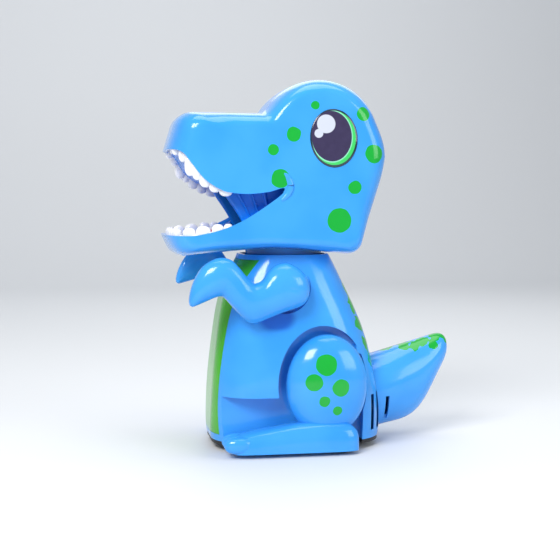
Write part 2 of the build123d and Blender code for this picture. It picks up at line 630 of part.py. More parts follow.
# ---- arms: root disc in the shoulder cup, three lobes, a pin into the body ---------------------
shoulder_x, shoulder_z = SHOULDER
for side, side_name in ((-1, "left"), (1, "right")):
    with BuildPart() as arm:
        for x1, z1, r1, x2, z2, r2, bulge in ARM_LOBES:
            add(capsule(x1, z1, r1, x2, z2, r2, side * ARM_INNER_Y, bulge))
        rim_y = sorted((side * 34.0, side * (ARM_INNER_Y + 8.6)))
        with BuildPart(mode=Mode.PRIVATE) as root:
            add(y_cylinder(SHOULDER_R, shoulder_x, shoulder_z, rim_y[0], rim_y[1]))
            fillet(root.edges().sort_by(Axis.Y)[0 if side < 0 else -1], 4.5)
        add(root.part)
        keep_y = sorted((side * 31.0, side * 60.0))
        add(brick((-80, 20), keep_y, (60, 130)), mode=Mode.INTERSECT)
        cut_y = sorted((side * 20.0, side * ARM_INNER_Y))
        with BuildPart(mode=Mode.PRIVATE) as inner_cut:
            add(brick((-80, 20), cut_y, (60, 130)))
            add(y_cylinder(SHOULDER_R, shoulder_x, shoulder_z, -60, 60), mode=Mode.SUBTRACT)
        add(inner_cut.part, mode=Mode.SUBTRACT)
        for x1, z1, r1, x2, z2, r2, bulge in ARM_LOBES[1:]:
            add(capsule(x1, z1, r1 - 2.2, x2, z2, max(r2 - 2.2, 1.6), side * ARM_INNER_Y, bulge - 2.2),
                mode=Mode.SUBTRACT)
        well_y = sorted((side * 33.0, side * (ARM_INNER_Y + 6.0)))
        add(y_cylinder(SHOULDER_R - 2.2, shoulder_x, shoulder_z, well_y[0], well_y[1]), mode=Mode.SUBTRACT)
        pin_y = sorted((side * 23.0, side * (ARM_INNER_Y + 7.0)))
        add(y_cylinder(ARM_PIN_R, shoulder_x, shoulder_z, pin_y[0], pin_y[1]))
        hole_y = sorted((side * 20.0, side * 32.0))
        add(y_cylinder(1.2, shoulder_x, shoulder_z, hole_y[0], hole_y[1]), mode=Mode.SUBTRACT)
    if side > 0:
        lift = Location((shoulder_x, 0, shoulder_z)) * Rot(0, RIGHT_ARM_LIFT, 0)
        arm.part = lift * Location((-shoulder_x, 0, -shoulder_z)) * arm.part
    save(arm, f"arm_{side_name}")
    with BuildPart() as washer:
        flat_y = sorted((side * 22.0, side * 23.0))
        add(y_cylinder(6.0, shoulder_x, shoulder_z, flat_y[0], flat_y[1]))
        add(y_cylinder(1.5, shoulder_x, shoulder_z, flat_y[0] - 1, flat_y[1] + 1), mode=Mode.SUBTRACT)
        shank_y = sorted((side * 22.0, side * 31.0))
        add(y_cylinder(1.2, shoulder_x, shoulder_z, shank_y[0], shank_y[1]))
        cap_y = sorted((side * 20.2, side * 22.0))
        add(y_cylinder(2.6, shoulder_x, shoulder_z, cap_y[0], cap_y[1]))
    save(washer, f"arm_screw_{side_name}")

# ---- legs: a hollow thigh over a long hollow foot, fixed in the torso's recess --------------------
thigh_x, thigh_z = THIGH_AT
for side, side_name in ((-1, "left"), (1, "right")):
    thigh_centre = (thigh_x, side * THIGH_Y[0], thigh_z)
    thigh_halves = (THIGH_HALF[0], THIGH_Y[1], THIGH_HALF[1])
    foot_y = sorted((side * FOOT_Y[0], side * FOOT_Y[1]))
    with BuildPart() as foot:
        add(brick(FOOT_X, foot_y, FOOT_Z))
        fillet(foot.edges().filter_by(Axis.Z), 8.0)
        fillet(foot.faces().sort_by(Axis.Z)[-1].edges(), 6.0)
    with BuildPart() as foot_room:
        room_x = (FOOT_X[0] + WALL, FOOT_X[1] - WALL)
        add(brick(room_x, (foot_y[0] + WALL, foot_y[1] - WALL), (0, FOOT_Z[1] - WALL)))
        fillet(foot_room.edges().filter_by(Axis.Z), 5.6)
        fillet(foot_room.faces().sort_by(Axis.Z)[-1].edges(), 3.6)
    with BuildPart() as leg:
        add(egg(thigh_centre, thigh_halves))
        add(foot.part)
        add(egg(thigh_centre, thigh_halves, WALL), mode=Mode.SUBTRACT)
        add(foot_room.part, mode=Mode.SUBTRACT)
        outer_y = sorted((side * RECESS_Y, side * 60.0))
        add(brick((-60, 60), outer_y, (0, 90)), mode=Mode.INTERSECT)
        for boss_z in LEG_SCREWS:
            boss_y = sorted((side * RECESS_Y, side * (THIGH_Y[0] + 6.0)))
            add(y_cylinder(3.2, thigh_x, boss_z, boss_y[0], boss_y[1]))
            hole_y = sorted((side * (RECESS_Y - 1), side * (THIGH_Y[0] + 2.0)))
            add(y_cylinder(1.3, thigh_x, boss_z, hole_y[0], hole_y[1]), mode=Mode.SUBTRACT)
        hole_y = sorted((side * 30.0, side * 51.0))
        add(y_cylinder(1.2, ROLLER_X, ROLLER_R, hole_y[0], hole_y[1]), mode=Mode.SUBTRACT)
    save(leg, f"leg_{side_name}")
    with BuildPart() as roller:
        tread_y = sorted((side * (ROLLER_Y - ROLLER_W / 2), side * (ROLLER_Y + ROLLER_W / 2)))
        add(y_cylinder(ROLLER_R, ROLLER_X, ROLLER_R, tread_y[0], tread_y[1]))
        fillet(roller.edges().filter_by(GeomType.CIRCLE), 0.8)
        add(y_cylinder(1.2 + RUN, ROLLER_X, ROLLER_R, tread_y[0], tread_y[1]), mode=Mode.SUBTRACT)
    save(roller, f"roller_{side_name}")
with BuildPart() as roller_pins:
    for side in (-1, 1):
        pin_y = sorted((side * 30.6, side * 51.0))
        add(y_cylinder(1.2, ROLLER_X, ROLLER_R, pin_y[0], pin_y[1]))
save(roller_pins, "roller_pins")
with BuildPart() as leg_screws:
    for side in (-1, 1):
        for boss_z in LEG_SCREWS:
            shank_y = sorted((side * 23.4, side * (THIGH_Y[0] + 1.0)))
            add(y_cylinder(1.3, thigh_x, boss_z, shank_y[0], shank_y[1]))
            cap_y = sorted((side * 23.4, side * 25.6))
            add(y_cylinder(SCREW_HEAD_R, thigh_x, boss_z, cap_y[0], cap_y[1]))
save(leg_screws, "leg_screws")

# ---- base plate ------------------------------------------------------------------------------------
SWITCH_X = -12.5
with BuildPart() as base_plate:
    _, front, back, half, corner = TORSO[0]
    with BuildSketch(Plane.XY.offset(PLATE_Z[0])):
        with Locations(((front + back) / 2, 0)):
            RectangleRounded(back - front - 1.0, 2 * half - 1.0, corner - 1)
        with Locations((SWIVEL_X, 0)):
            Circle(TABLE_R + GAP, mode=Mode.SUBTRACT)
        with Locations(((BOX_X[0] + BOX_X[1]) / 2, 0)):
            Rectangle(BOX_X[1] - BOX_X[0] - 3.2, 2 * BOX_HALF - 3.2, mode=Mode.SUBTRACT)
        with Locations((SWITCH_X, 0)):
            Rectangle(4.6, 11.0, mode=Mode.SUBTRACT)
    extrude(amount=PLATE_Z[1] - PLATE_Z[0])
    for side in (-1, 1):
        add(leg_recess(side, 0), mode=Mode.SUBTRACT)
save(base_plate, "base_plate")

# ---- battery box, cells, contacts and door ---------------------------------------------------------
with BuildPart() as battery_box:
    add(brick(BOX_X, (-BOX_HALF, BOX_HALF), (PLATE_Z[1], BOX_TOP)))
    room_x = (BOX_X[0] + 1.6, BOX_X[1] - 1.6)
    room_half = BOX_HALF - 1.6
    add(brick(room_x, (-room_half, room_half), (PLATE_Z[1] - 1, BOX_TOP - 1.6)), mode=Mode.SUBTRACT)
save(battery_box, "battery_box")
CELL_Z = PLATE_Z[1] + CELL_R + 0.4
with BuildPart() as batteries:
    for row in (-1, 0, 1):
        start = BOX_X[0] + 2.4
        add(x_cylinder(CELL_R, row * CELL_PITCH, CELL_Z, start, start + CELL_LENGTH - 1.4))
        add(x_cylinder(2.6, row * CELL_PITCH, CELL_Z, start, start + CELL_LENGTH - 0.2))
save(batteries, "batteries")
with BuildPart() as battery_contacts:
    for row in (-1, 0, 1):
        for plate_x in (BOX_X[0] + 1.7, BOX_X[1] - 2.1):
            plate_y = (row * CELL_PITCH - 5.5, row * CELL_PITCH + 5.5)
            add(brick((plate_x, plate_x + 0.4), plate_y, (CELL_Z - 5.0, CELL_Z + 5.0)))
save(battery_contacts, "battery_contacts")
with BuildPart() as battery_door:
    door_x = (BOX_X[0] + 1.9, BOX_X[1] - 1.9)
    door_half = BOX_HALF - 1.9
    add(brick(door_x, (-door_half, door_half), (PLATE_Z[0], PLATE_Z[1] - 0.4)))
    add(z_cylinder(2.9, 18.2, 0, PLATE_Z[0] - 1, PLATE_Z[0] + 0.9), mode=Mode.SUBTRACT)
    add(z_cylinder(1.3, 18.2, 0, PLATE_Z[0], PLATE_Z[1]), mode=Mode.SUBTRACT)
save(battery_door, "battery_door")

# ---- power switch ---------------------------------------------------------------------------------
with BuildPart() as switch_body:
    add(brick((SWITCH_X - 2.8, SWITCH_X + 2.8), (-8.0, 8.0), (PLATE_Z[1] + 2.0, PLATE_Z[1] + 6.0)))
    for side in (-1, 1):
        leg_y = sorted((side * 6.0, side * 8.0))
        add(brick((SWITCH_X - 2.8, SWITCH_X + 2.8), leg_y, (PLATE_Z[1], PLATE_Z[1] + 2.1)))
save(switch_body, "switch_body")
with BuildPart() as power_switch:
    add(brick((SWITCH_X - 2.0, SWITCH_X + 2.0), (-5.2, -0.8), (PLATE_Z[0] - 0.8, PLATE_Z[1] + 0.2)))
    add(brick((SWITCH_X - 2.5, SWITCH_X + 2.5), (-5.6, -0.4), (PLATE_Z[1] + 0.2, PLATE_Z[1] + 1.8)))
    for groove_y in (-4.4, -3.2, -2.0):
        groove = (PLATE_Z[0] - 1.0, PLATE_Z[0] - 0.4)
        add(brick((SWITCH_X - 2.1, SWITCH_X + 2.1), (groove_y, groove_y + 0.5), groove), mode=Mode.SUBTRACT)
save(power_switch, "power_switch")

# ---- drive unit on its turntable -------------------------------------------------------------------
with BuildPart() as turntable:
    add(z_cylinder(TABLE_R, SWIVEL_X, 0, PLATE_Z[0], PLATE_Z[1] + 0.2))
    add(z_cylinder(FLANGE_R, SWIVEL_X, 0, PLATE_Z[1] + 0.2, PLATE_Z[1] + 1.6))
    for side in (-1, 1):
        slot_y = sorted((side * 7.0, side * 12.3))
        add(brick((SWIVEL_X - 8.8, SWIVEL_X + 8.8), slot_y, (0, 20)), mode=Mode.SUBTRACT)
    add(brick((SWIVEL_X - 6.6, SWIVEL_X + 6.6), (-6.2, 6.2), (0, 20)), mode=Mode.SUBTRACT)
    for side in (-1, 1):
        cheek_y = sorted((side * 5.2, side * 7.0))
        add(brick((SWIVEL_X - 7.6, SWIVEL_X + 7.6), cheek_y, (PLATE_Z[0] + 0.6, 19.0)))
    add(brick((SWIVEL_X - 7.6, SWIVEL_X + 7.6), (-7.0, 7.0), (17.0, 21.0)))
    add(y_cylinder(1.5 + RUN, SWIVEL_X, DRIVE_Z, -8, 8), mode=Mode.SUBTRACT)
    add(z_cylinder(1.5 + RUN, SWIVEL_X, 0, 16, 22), mode=Mode.SUBTRACT)
save(turntable, "turntable")
CROWN_MODULE = 0.6
CROWN_TEETH = 16
DRIVE_PINION_TEETH = 8
with BuildPart() as drive_shaft:
    add(z_cylinder(1.5, SWIVEL_X, 0, 12.2, GEAR_LOW_Z + GEAR_W + 0.6))
    add(z_cylinder(2.6, SWIVEL_X, 0, 21.4, 22.4))
    add(spur_gear(DRIVE_PINION_TEETH, 12.1, 1.6, (SWIVEL_X, 0), 0.4, 90, CROWN_MODULE))
save(drive_shaft, "drive_shaft")
with BuildPart() as shaft_gear:
    add(spur_gear(SHAFT_TEETH, GEAR_LOW_Z, GEAR_W, (SWIVEL_X, 0), 1.5))
save(shaft_gear, "shaft_gear")
with BuildPart() as drive_axle:
    add(y_cylinder(1.5, SWIVEL_X, DRIVE_Z, -WHEEL_Y[1], WHEEL_Y[1]))
    add(y_cylinder(5.6, SWIVEL_X, DRIVE_Z, 3.2, 4.8))
    tooth_angle = 360 / CROWN_TEETH
    with BuildSketch(Plane.XZ.offset(-3.25)):
        with Locations((SWIVEL_X, DRIVE_Z)):
            with PolarLocations(4.8, CROWN_TEETH, start_angle=90 + tooth_angle / 2):
                Rectangle(1.6, 0.6)
    extrude(amount=1.3)
save(drive_axle, "drive_axle")
with BuildPart() as drive_wheels:
    for side in (-1, 1):
        hub_y = sorted((side * WHEEL_Y[0], side * WHEEL_Y[1]))
        add(y_cylinder(WHEEL_R - 1.6, SWIVEL_X, DRIVE_Z, hub_y[0], hub_y[1]))
    add(y_cylinder(1.5, SWIVEL_X, DRIVE_Z, -20, 20), mode=Mode.SUBTRACT)
save(drive_wheels, "drive_wheels")
with BuildPart() as drive_tyres:
    for side in (-1, 1):
        hub_y = sorted((side * WHEEL_Y[0], side * WHEEL_Y[1]))
        add(y_cylinder(WHEEL_R, SWIVEL_X, DRIVE_Z, hub_y[0], hub_y[1]))
    add(y_cylinder(WHEEL_R - 1.6, SWIVEL_X, DRIVE_Z, -20, 20), mode=Mode.SUBTRACT)
save(drive_tyres, "drive_tyres")

# ---- fixed gear train and drive motor ---------------------------------------------------------------
tip_gap = 0.35
IDLER_X = SWIVEL_X + MODULE * (SHAFT_TEETH + IDLER_SMALL) / 2 + 2 * 0.9 * MODULE + tip_gap
MOTOR_X = IDLER_X + MODULE * (IDLER_BIG + MOTOR_TEETH) / 2
with BuildPart() as idler_gear:
    add(spur_gear(IDLER_SMALL, GEAR_LOW_Z, GEAR_HIGH_Z - GEAR_LOW_Z, (IDLER_X, 0), 1.5 + RUN))
    add(spur_gear(IDLER_BIG, GEAR_HIGH_Z, GEAR_W, (IDLER_X, 0), 1.5 + RUN))
save(idler_gear, "idler_gear")
with BuildPart() as idler_pin:
    add(z_cylinder(1.5, IDLER_X, 0, 25.6, BRACKET_Z + 2.0))
    add(z_cylinder(2.6, IDLER_X, 0, 25.2, 26.4))
save(idler_pin, "idler_pin")
with BuildPart() as motor_pinion:
    half_pitch = 180 / MOTOR_TEETH
    add(spur_gear(MOTOR_TEETH, GEAR_HIGH_Z, GEAR_W, (MOTOR_X, 0), 1.0, half_pitch))
save(motor_pinion, "motor_pinion")
with BuildPart() as motor_shaft:
    add(z_cylinder(1.0, MOTOR_X, 0, GEAR_HIGH_Z, BRACKET_Z + 5.0))
save(motor_shaft, "motor_shaft")
with BuildPart() as drive_motor:
    add(z_cylinder(10.0, MOTOR_X, 0, BRACKET_Z + 2.0, BRACKET_Z + 27.0))
    flats = (BRACKET_Z + 2.0, BRACKET_Z + 27.0)
    add(brick((MOTOR_X - 7.6, MOTOR_X + 7.6), (-12, 12), flats), mode=Mode.INTERSECT)
    add(z_cylinder(1.0 + RUN, MOTOR_X, 0, BRACKET_Z, BRACKET_Z + 6.0), mode=Mode.SUBTRACT)
save(drive_motor, "drive_motor")
with BuildPart() as motor_bracket:
    add(brick((-22.0, 14.0), (-22, 22), (BRACKET_Z, BRACKET_Z + 2.0)))
    for post_x in (-16.0, 12.0):
        for post_y in (-20.0, 20.0):
            foot_z = PLATE_Z[1] if post_x < BOX_X[0] else BOX_TOP
            add(z_cylinder(2.0, post_x, post_y, foot_z, BRACKET_Z + 0.5))
    add(z_cylinder(1.0 + 0.4, MOTOR_X, 0, BRACKET_Z - 1, BRACKET_Z + 3), mode=Mode.SUBTRACT)
    add(z_cylinder(1.5, IDLER_X, 0, BRACKET_Z - 1, BRACKET_Z + 3), mode=Mode.SUBTRACT)
save(motor_bracket, "motor_bracket")

# ---- speaker and circuit board -------------------------------------------------------------------------
with BuildPart() as speaker:
    add(x_cylinder(13.0, 0, 40.0, 30.0, 32.6))
    add(x_cylinder(8.0, 0, 40.0, 26.0, 30.1))
    add(x_cylinder(5.0, 0, 40.0, 25.0, 26.1))
save(speaker, "speaker")
with BuildPart() as speaker_bracket:
    add(brick((32.7, 34.3), (-15, 15), (BOX_TOP, 56.0)))
    add(x_cylinder(11.0, 0, 40.0, 32, 35), mode=Mode.SUBTRACT)
save(speaker_bracket, "speaker_bracket")
CHIPS = (                 # y, z, width, height, thickness
    (0.0, 90.0, 10.0, 7.0, 1.6),
    (-12.0, 82.0, 5.0, 5.0, 4.0),
    (11.0, 80.0, 6.0, 4.0, 2.0),
    (12.0, 96.0, 4.0, 4.0, 5.0),
)
with BuildPart() as circuit_board:
    add(brick((18.0, 19.6), (-20, 20), (72.0, 104.0)))
    for chip_y, chip_z, chip_w, chip_h, chip_t in CHIPS:
        chip_z_range = (chip_z - chip_h / 2, chip_z + chip_h / 2)
        add(brick((18.0 - chip_t, 18.1), (chip_y - chip_w / 2, chip_y + chip_w / 2), chip_z_range))
save(circuit_board, "circuit_board")
with BuildPart() as board_posts:
    for post_y in (-17.0, 17.0):
        add(x_cylinder(2.0, post_y, 76.0, 19.6, 28.0))
save(board_posts, "board_posts")
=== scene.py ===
# %% [markdown]
# # Dinosaur bubble machine
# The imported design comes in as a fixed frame: every piece of the mechanism at its real place and
# size. This notebook gives those pieces their finishes, and puts finer surfaces over the ones
# that a child sees and touches.

import bmesh
import bpy
import numpy as np
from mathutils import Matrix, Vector


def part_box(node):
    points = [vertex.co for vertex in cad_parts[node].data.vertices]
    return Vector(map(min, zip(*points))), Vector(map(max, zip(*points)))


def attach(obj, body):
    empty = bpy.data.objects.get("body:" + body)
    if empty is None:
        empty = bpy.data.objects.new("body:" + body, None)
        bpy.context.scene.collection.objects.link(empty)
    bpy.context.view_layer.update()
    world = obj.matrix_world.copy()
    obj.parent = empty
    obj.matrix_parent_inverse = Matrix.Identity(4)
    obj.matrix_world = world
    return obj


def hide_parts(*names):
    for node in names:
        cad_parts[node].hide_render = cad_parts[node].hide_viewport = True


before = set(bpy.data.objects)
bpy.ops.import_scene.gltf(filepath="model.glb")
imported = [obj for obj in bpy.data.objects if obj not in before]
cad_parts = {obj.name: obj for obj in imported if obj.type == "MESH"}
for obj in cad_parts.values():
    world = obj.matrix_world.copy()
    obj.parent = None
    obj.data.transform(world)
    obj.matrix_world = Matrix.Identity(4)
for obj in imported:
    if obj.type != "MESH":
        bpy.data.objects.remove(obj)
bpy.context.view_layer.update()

# %% [markdown]
# ## One drawing grid
# The toy was drawn in millimetres from the middle of its body. The eye disc tells where that
# drawing sits in the frame, so that the same numbers can be used here for a spot or a tooth.

# %% Drawing grid
MM = 0.001
EYE_AT = (18.2, 188.6)          # eye centre in the drawing, x and z
CHEEK = 41.0                    # the flat of the cheek, from the middle
eye_low, eye_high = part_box("eye_left")
SHIFT_X = (eye_low.x + eye_high.x) / 2 - EYE_AT[0] * MM


def to_frame(points):
    """Millimetres of the drawing to metres of the frame: scaled by 0.001 and shifted along x."""
    placed = np.asarray(points, float) * MM
    placed[..., 0] += SHIFT_X
    return placed


print("drawing shift", round(SHIFT_X / MM, 2), "mm")

# %% [markdown]
# ## Shader arithmetic
# A material is a graph of nodes. Writing the graph as Python expressions keeps it readable: the
# class below wraps one socket and turns +, -, * and / into Math nodes. Every other node comes
# from the method `node`.

# %% Socket wrapper and finish builder
class Value:
    """A number on its way through a material; operators on it add Math nodes."""

    def __init__(self, finish, socket):
        self.finish = finish
        self.socket = socket

    def math(self, operation, *others):
        return self.finish.node("ShaderNodeMath", {"operation": operation}, [self, *others])

    def __add__(self, other):
        return self.math("ADD", other)

    __radd__ = __add__

    def __sub__(self, other):
        return self.math("SUBTRACT", other)

    def __rsub__(self, other):
        return self.finish.node("ShaderNodeMath", {"operation": "SUBTRACT"}, [other, self])

    def __mul__(self, other):
        return self.math("MULTIPLY", other)

    __rmul__ = __mul__

    def __truediv__(self, other):
        return self.math("DIVIDE", other)

    def __abs__(self):
        return self.math("ABSOLUTE")

    def root(self):
        return self.math("SQRT")

    def most(self, other):
        return self.math("MAXIMUM", other)

    def step(self, low, high):
        """0 below low, 1 above high, smooth between; low may be the larger one."""
        settings = {"interpolation_type": "SMOOTHSTEP"}
        values = {"Value": self, "From Min": low, "From Max": high}
        return self.finish.node("ShaderNodeMapRange", settings, values)


class Finish:
    """A material whose Principled shader is fed by Python expressions."""

    def __init__(self, name, **constants):
        self.material = bpy.data.materials.new(name)
        self.material.use_nodes = True
        self.tree = self.material.node_tree
        self.shader = self.tree.nodes["Principled BSDF"]
        for socket, number in constants.items():
            self.shader.inputs[socket.replace("_", " ")].default_value = number
        self.place = self.node("ShaderNodeTexCoord", {}, {}, "Object")

    def node(self, kind, settings, values, output=0):
        """Add a node: settings first, then numbers or links for its sockets; returns one output."""
        made = self.tree.nodes.new(kind)
        for key, setting in settings.items():
            setattr(made, key, setting)
        pairs = values.items() if isinstance(values, dict) else enumerate(values)
        for key, value in pairs:
            if isinstance(value, Value):
                self.tree.links.new(value.socket, made.inputs[key])
            else:
                made.inputs[key].default_value = value
        return Value(self, made.outputs[output])

    def axes(self, source=None):
        """The x, y and z of a place as three values."""
        split = self.node("ShaderNodeSeparateXYZ", {}, [source or self.place]).socket.node
        return [Value(self, split.outputs[i]) for i in range(3)]

    def noise(self, scale, detail=3.0, roughness=0.5, source=None):
        """Soft random lumps from 0 to 1, scale of them to a metre."""
        values = {"Vector": source or self.place, "Scale": scale, "Detail": detail, "Roughness": roughness}
        return self.node("ShaderNodeTexNoise", {}, values)

    def mix(self, share, low, high):
        """Colour mix: low where share is 0, high where it is 1."""
        values = {0: share, 6: low, 7: high}
        return self.node("ShaderNodeMix", {"data_type": "RGBA"}, values, 2)

    def feed(self, socket, value):
        """Link a value to the shader's socket of that name."""
        self.tree.links.new(value.socket, self.shader.inputs[socket])

    def bump(self, height, distance, strength=1.0):
        """Raise the surface by height times distance, in metres."""
        values = {"Height": height, "Distance": distance, "Strength": strength}
        self.feed("Normal", self.node("ShaderNodeBump", {}, values))


def tint(red, green, blue):
    """A colour given as the 0-255 numbers of a paint chart, made linear for the shader."""
    share = np.array([red, green, blue]) / 255
    linear = np.where(share <= 0.04045, share / 12.92, ((share + 0.055) / 1.055) ** 2.4)
    return (*linear.tolist(), 1.0)


print("a chart grey of 128 is", round(tint(128, 128, 128)[0], 3), "for the shader")

# %% [markdown]
# ## Camera, floor and light
# The toy is seen from its left side and a little from the front, at about the height of its jaw.
# A long lens keeps its lines calm. The floor is pale and plain, and large soft lights give the broad
# reflections that glossy plastic needs.

# %% Camera
TARGET = to_frame((-7.0, 0.0, 102.0))
CAMERA_AT = to_frame((-129.66, -695.63, 150.15))
camera_data = bpy.data.cameras.new("camera")
camera_data.sensor_width = 36.0
camera_data.lens = 72.26
camera = bpy.data.objects.new("camera", camera_data)
bpy.context.scene.collection.objects.link(camera)
camera.location = Vector(CAMERA_AT)
camera.rotation_euler = (Vector(TARGET) - Vector(CAMERA_AT)).to_track_quat("-Z", "Y").to_euler()
bpy.context.scene.camera = camera
print("camera with a", camera_data.lens, "mm lens")

# %% [markdown]
# The floor is a sheet of card that sweeps up into the wall behind, as in a studio: a flat stretch, a
# quarter of a circle, and a wall. Without a corner there is no line behind the toy.

# %% Floor
bend = np.linspace(0, np.pi / 2, 24)
SWEEP_Y = 1.3
SWEEP_R = 0.7
FLOOR_HALF = 3.0
WALL_TOP = 2.4
sweep_y = np.concatenate([[-FLOOR_HALF], SWEEP_Y + SWEEP_R * np.sin(bend), [SWEEP_Y + SWEEP_R]])
sweep_z = np.concatenate([[0.0], SWEEP_R * (1 - np.cos(bend)), [WALL_TOP]])
rows = len(sweep_y)
section = list(zip(sweep_y.tolist(), sweep_z.tolist()))
floor_points = [(x, y, z) for x in (-FLOOR_HALF, FLOOR_HALF) for y, z in section]
floor_faces = [(row, row + rows, row + rows + 1, row + 1) for row in range(rows - 1)]
floor_mesh = bpy.data.meshes.new("floor")
floor_mesh.from_pydata(floor_points, [], floor_faces)
floor_mesh.shade_smooth()
floor = bpy.data.objects.new("floor", floor_mesh)
bpy.context.scene.collection.objects.link(floor)
floor_finish = Finish("floor_card", Base_Color=tint(226, 229, 232), Roughness=0.55)
floor_mesh.materials.append(floor_finish.material)
print("floor of", len(floor_faces), "strips")


# %% [markdown]
# Three soft lamps do the work: a key from the toy's front left, a weaker fill from its back, and one
# overhead. Two more light the wall and the far edge. Wide lamps give the soft streaks of moulded plastic.

# %% Lights
def soft_light(name, place, aim, size, power, colour=(1, 1, 1)):
    """A rectangular lamp at place, turned to aim, both in metres."""
    data = bpy.data.lights.new(name, "AREA")
    data.shape = "RECTANGLE"
    data.size, data.size_y = size
    data.energy = power
    data.color = colour
    lamp = bpy.data.objects.new(name, data)
    bpy.context.scene.collection.objects.link(lamp)
    lamp.location = place
    lamp.rotation_euler = (Vector(aim) - Vector(place)).to_track_quat("-Z", "Y").to_euler()


MIDDLE = (0.0, 0.0, 0.11)
soft_light("key_light", (-0.55, -0.75, 0.75), MIDDLE, (0.5, 0.4), 10.5, (1.0, 0.98, 0.95))
soft_light("fill_light", (0.8, -0.7, 0.45), MIDDLE, (0.6, 0.5), 3.6, (0.95, 0.98, 1.0))
soft_light("top_light", (0.05, 0.05, 1.0), MIDDLE, (0.8, 0.6), 4.0)
soft_light("wall_light", (0.0, 1.1, 1.4), (0.0, 2.0, 0.5), (1.6, 0.4), 6.0)
soft_light("rear_light", (0.3, 0.9, 0.7), MIDDLE, (0.8, 0.5), 1.2)
world = bpy.data.worlds.new("room")
world.use_nodes = True
world.node_tree.nodes["Background"].inputs["Color"].default_value = (0.93, 0.95, 1.0, 1.0)
world.node_tree.nodes["Background"].inputs["Strength"].default_value = 0.44
bpy.context.scene.world = world
bpy.context.scene.view_settings.view_transform = "Standard"

# %% [markdown]
# ## Shell plastic
# The shells are injection-moulded and polished: a saturated light blue with a clear gloss. The
# colour drifts very slightly across a moulding, and the polish is not quite even. Leaf-green
# spots are printed on it. Each spot is a disc in the side view whose rim wobbles a little, so a
# distance to its centre, less a little noise, makes its mask.

# %% Shell finish
BLUE = tint(60, 157, 238)
DEEP_BLUE = tint(48, 148, 233)
LEAF = tint(8, 160, 56)
HEAD_SPOTS = (
    (6.9, 208.0, 2.5), (36.4, 203.4, 4.2), (-5.9, 190.9, 4.4), (-18.2, 181.6, 3.3),
    (43.0, 179.8, 5.6), (-13.9, 164.7, 5.6), (31.1, 159.7, 4.0), (21.7, 140.0, 7.3),
)
THIGH_SPOTS = (
    (12.4, 54.5, 6.4), (5.0, 44.3, 5.2), (21.0, 40.7, 5.2), (11.3, 32.8, 3.3), (19.0, 27.1, 2.9),
)
SPOT_EDGE = 0.12                # half the blur of a printed rim
BLOB_EDGE = 0.2
PRINT_FROM = 24.0               # spots are printed only farther out than this from the middle
SCOOP_DEPTH = 9.0               # against the relief of the mould seam, which is 1


def shell_finish(name, discs=(), blobs=(), seam=True, scoop=None):
    """Glossy blue with green discs (x, z, radius) and blobs (x, y, z, radius), a mould seam and a scoop.

    A scoop (x, z, half width, half height) looks like a bowl pressed into both sides: painted shade
    darkens its upper part, and a bump turns its rim.
    """
    finish = Finish(name, IOR=1.5, Coat_Roughness=0.03, Specular_IOR_Level=0.4)
    finish.shader.inputs["Coat Weight"].default_value = 0.25
    drift = finish.noise(28.0, 2.0)
    colour = finish.mix(drift.step(0.35, 0.7), BLUE, DEEP_BLUE)
    x, y, z = finish.axes()
    wobble = (finish.noise(190.0, 1.0) - 0.5) * 0.0012
    printed = None
    for spot_x, spot_z, radius in discs:
        centre_x, _, centre_z = to_frame((spot_x, 0.0, spot_z))
        dx = x - centre_x
        dz = z - centre_z
        near = (dx * dx + dz * dz).root() + wobble
        disc = near.step((radius + SPOT_EDGE) * MM, (radius - SPOT_EDGE) * MM)
        printed = disc if printed is None else printed.most(disc)
    if discs:
        printed = printed * abs(y).step(PRINT_FROM * MM, (PRINT_FROM + 0.5) * MM)
    uneven = (finish.noise(150.0, 3.0) - 0.5) * 0.011
    for blob_x, blob_y, blob_z, radius in blobs:
        centre_x, centre_y, centre_z = to_frame((blob_x, blob_y, blob_z))
        dx, dy, dz = x - centre_x, abs(y) - centre_y, z - centre_z
        near = (dx * dx + dy * dy + dz * dz).root() + uneven
        disc = near.step((radius + BLOB_EDGE) * MM, (radius - BLOB_EDGE) * MM)
        printed = disc if printed is None else printed.most(disc)
    if printed is not None:
        colour = finish.mix(printed, colour, finish.mix(drift, LEAF, tint(14, 168, 48)))
    finish.feed("Roughness", finish.noise(60.0, 3.0) * 0.06 + 0.13)
    relief = finish.noise(420.0, 1.0) * 0.05
    if scoop:
        centre_x, _, centre_z = to_frame((scoop[0], 0.0, scoop[1]))
        across = (x - centre_x) / (scoop[2] * MM)
        upward = (z - centre_z) / (scoop[3] * MM)
        outside = abs(y).step((PRINT_FROM - 4.0) * MM, PRINT_FROM * MM)
        bowl = (across * across + upward * upward).root().step(1.0, 0.55) * outside
        # Painted shade: the scoop's upper part, under the arm, is darkened to stand for the shadow there.
        shade = bowl * upward.step(-0.9, -0.5)
        colour = finish.mix(shade * 0.85, colour, tint(8, 84, 190))
        relief = relief - bowl * SCOOP_DEPTH
    if seam:
        line = abs(y).step(0.0003, 0.0001)
        colour = finish.mix(line * 0.6, colour, tint(10, 84, 170))
        relief = relief - line
    finish.feed("Base Color", colour)
    finish.bump(relief, 0.0002, 0.35)
    return finish.material


def dress(node, material):
    """Give one design piece a finish."""
    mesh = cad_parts[node].data
    mesh.materials.clear()
    mesh.materials.append(material)
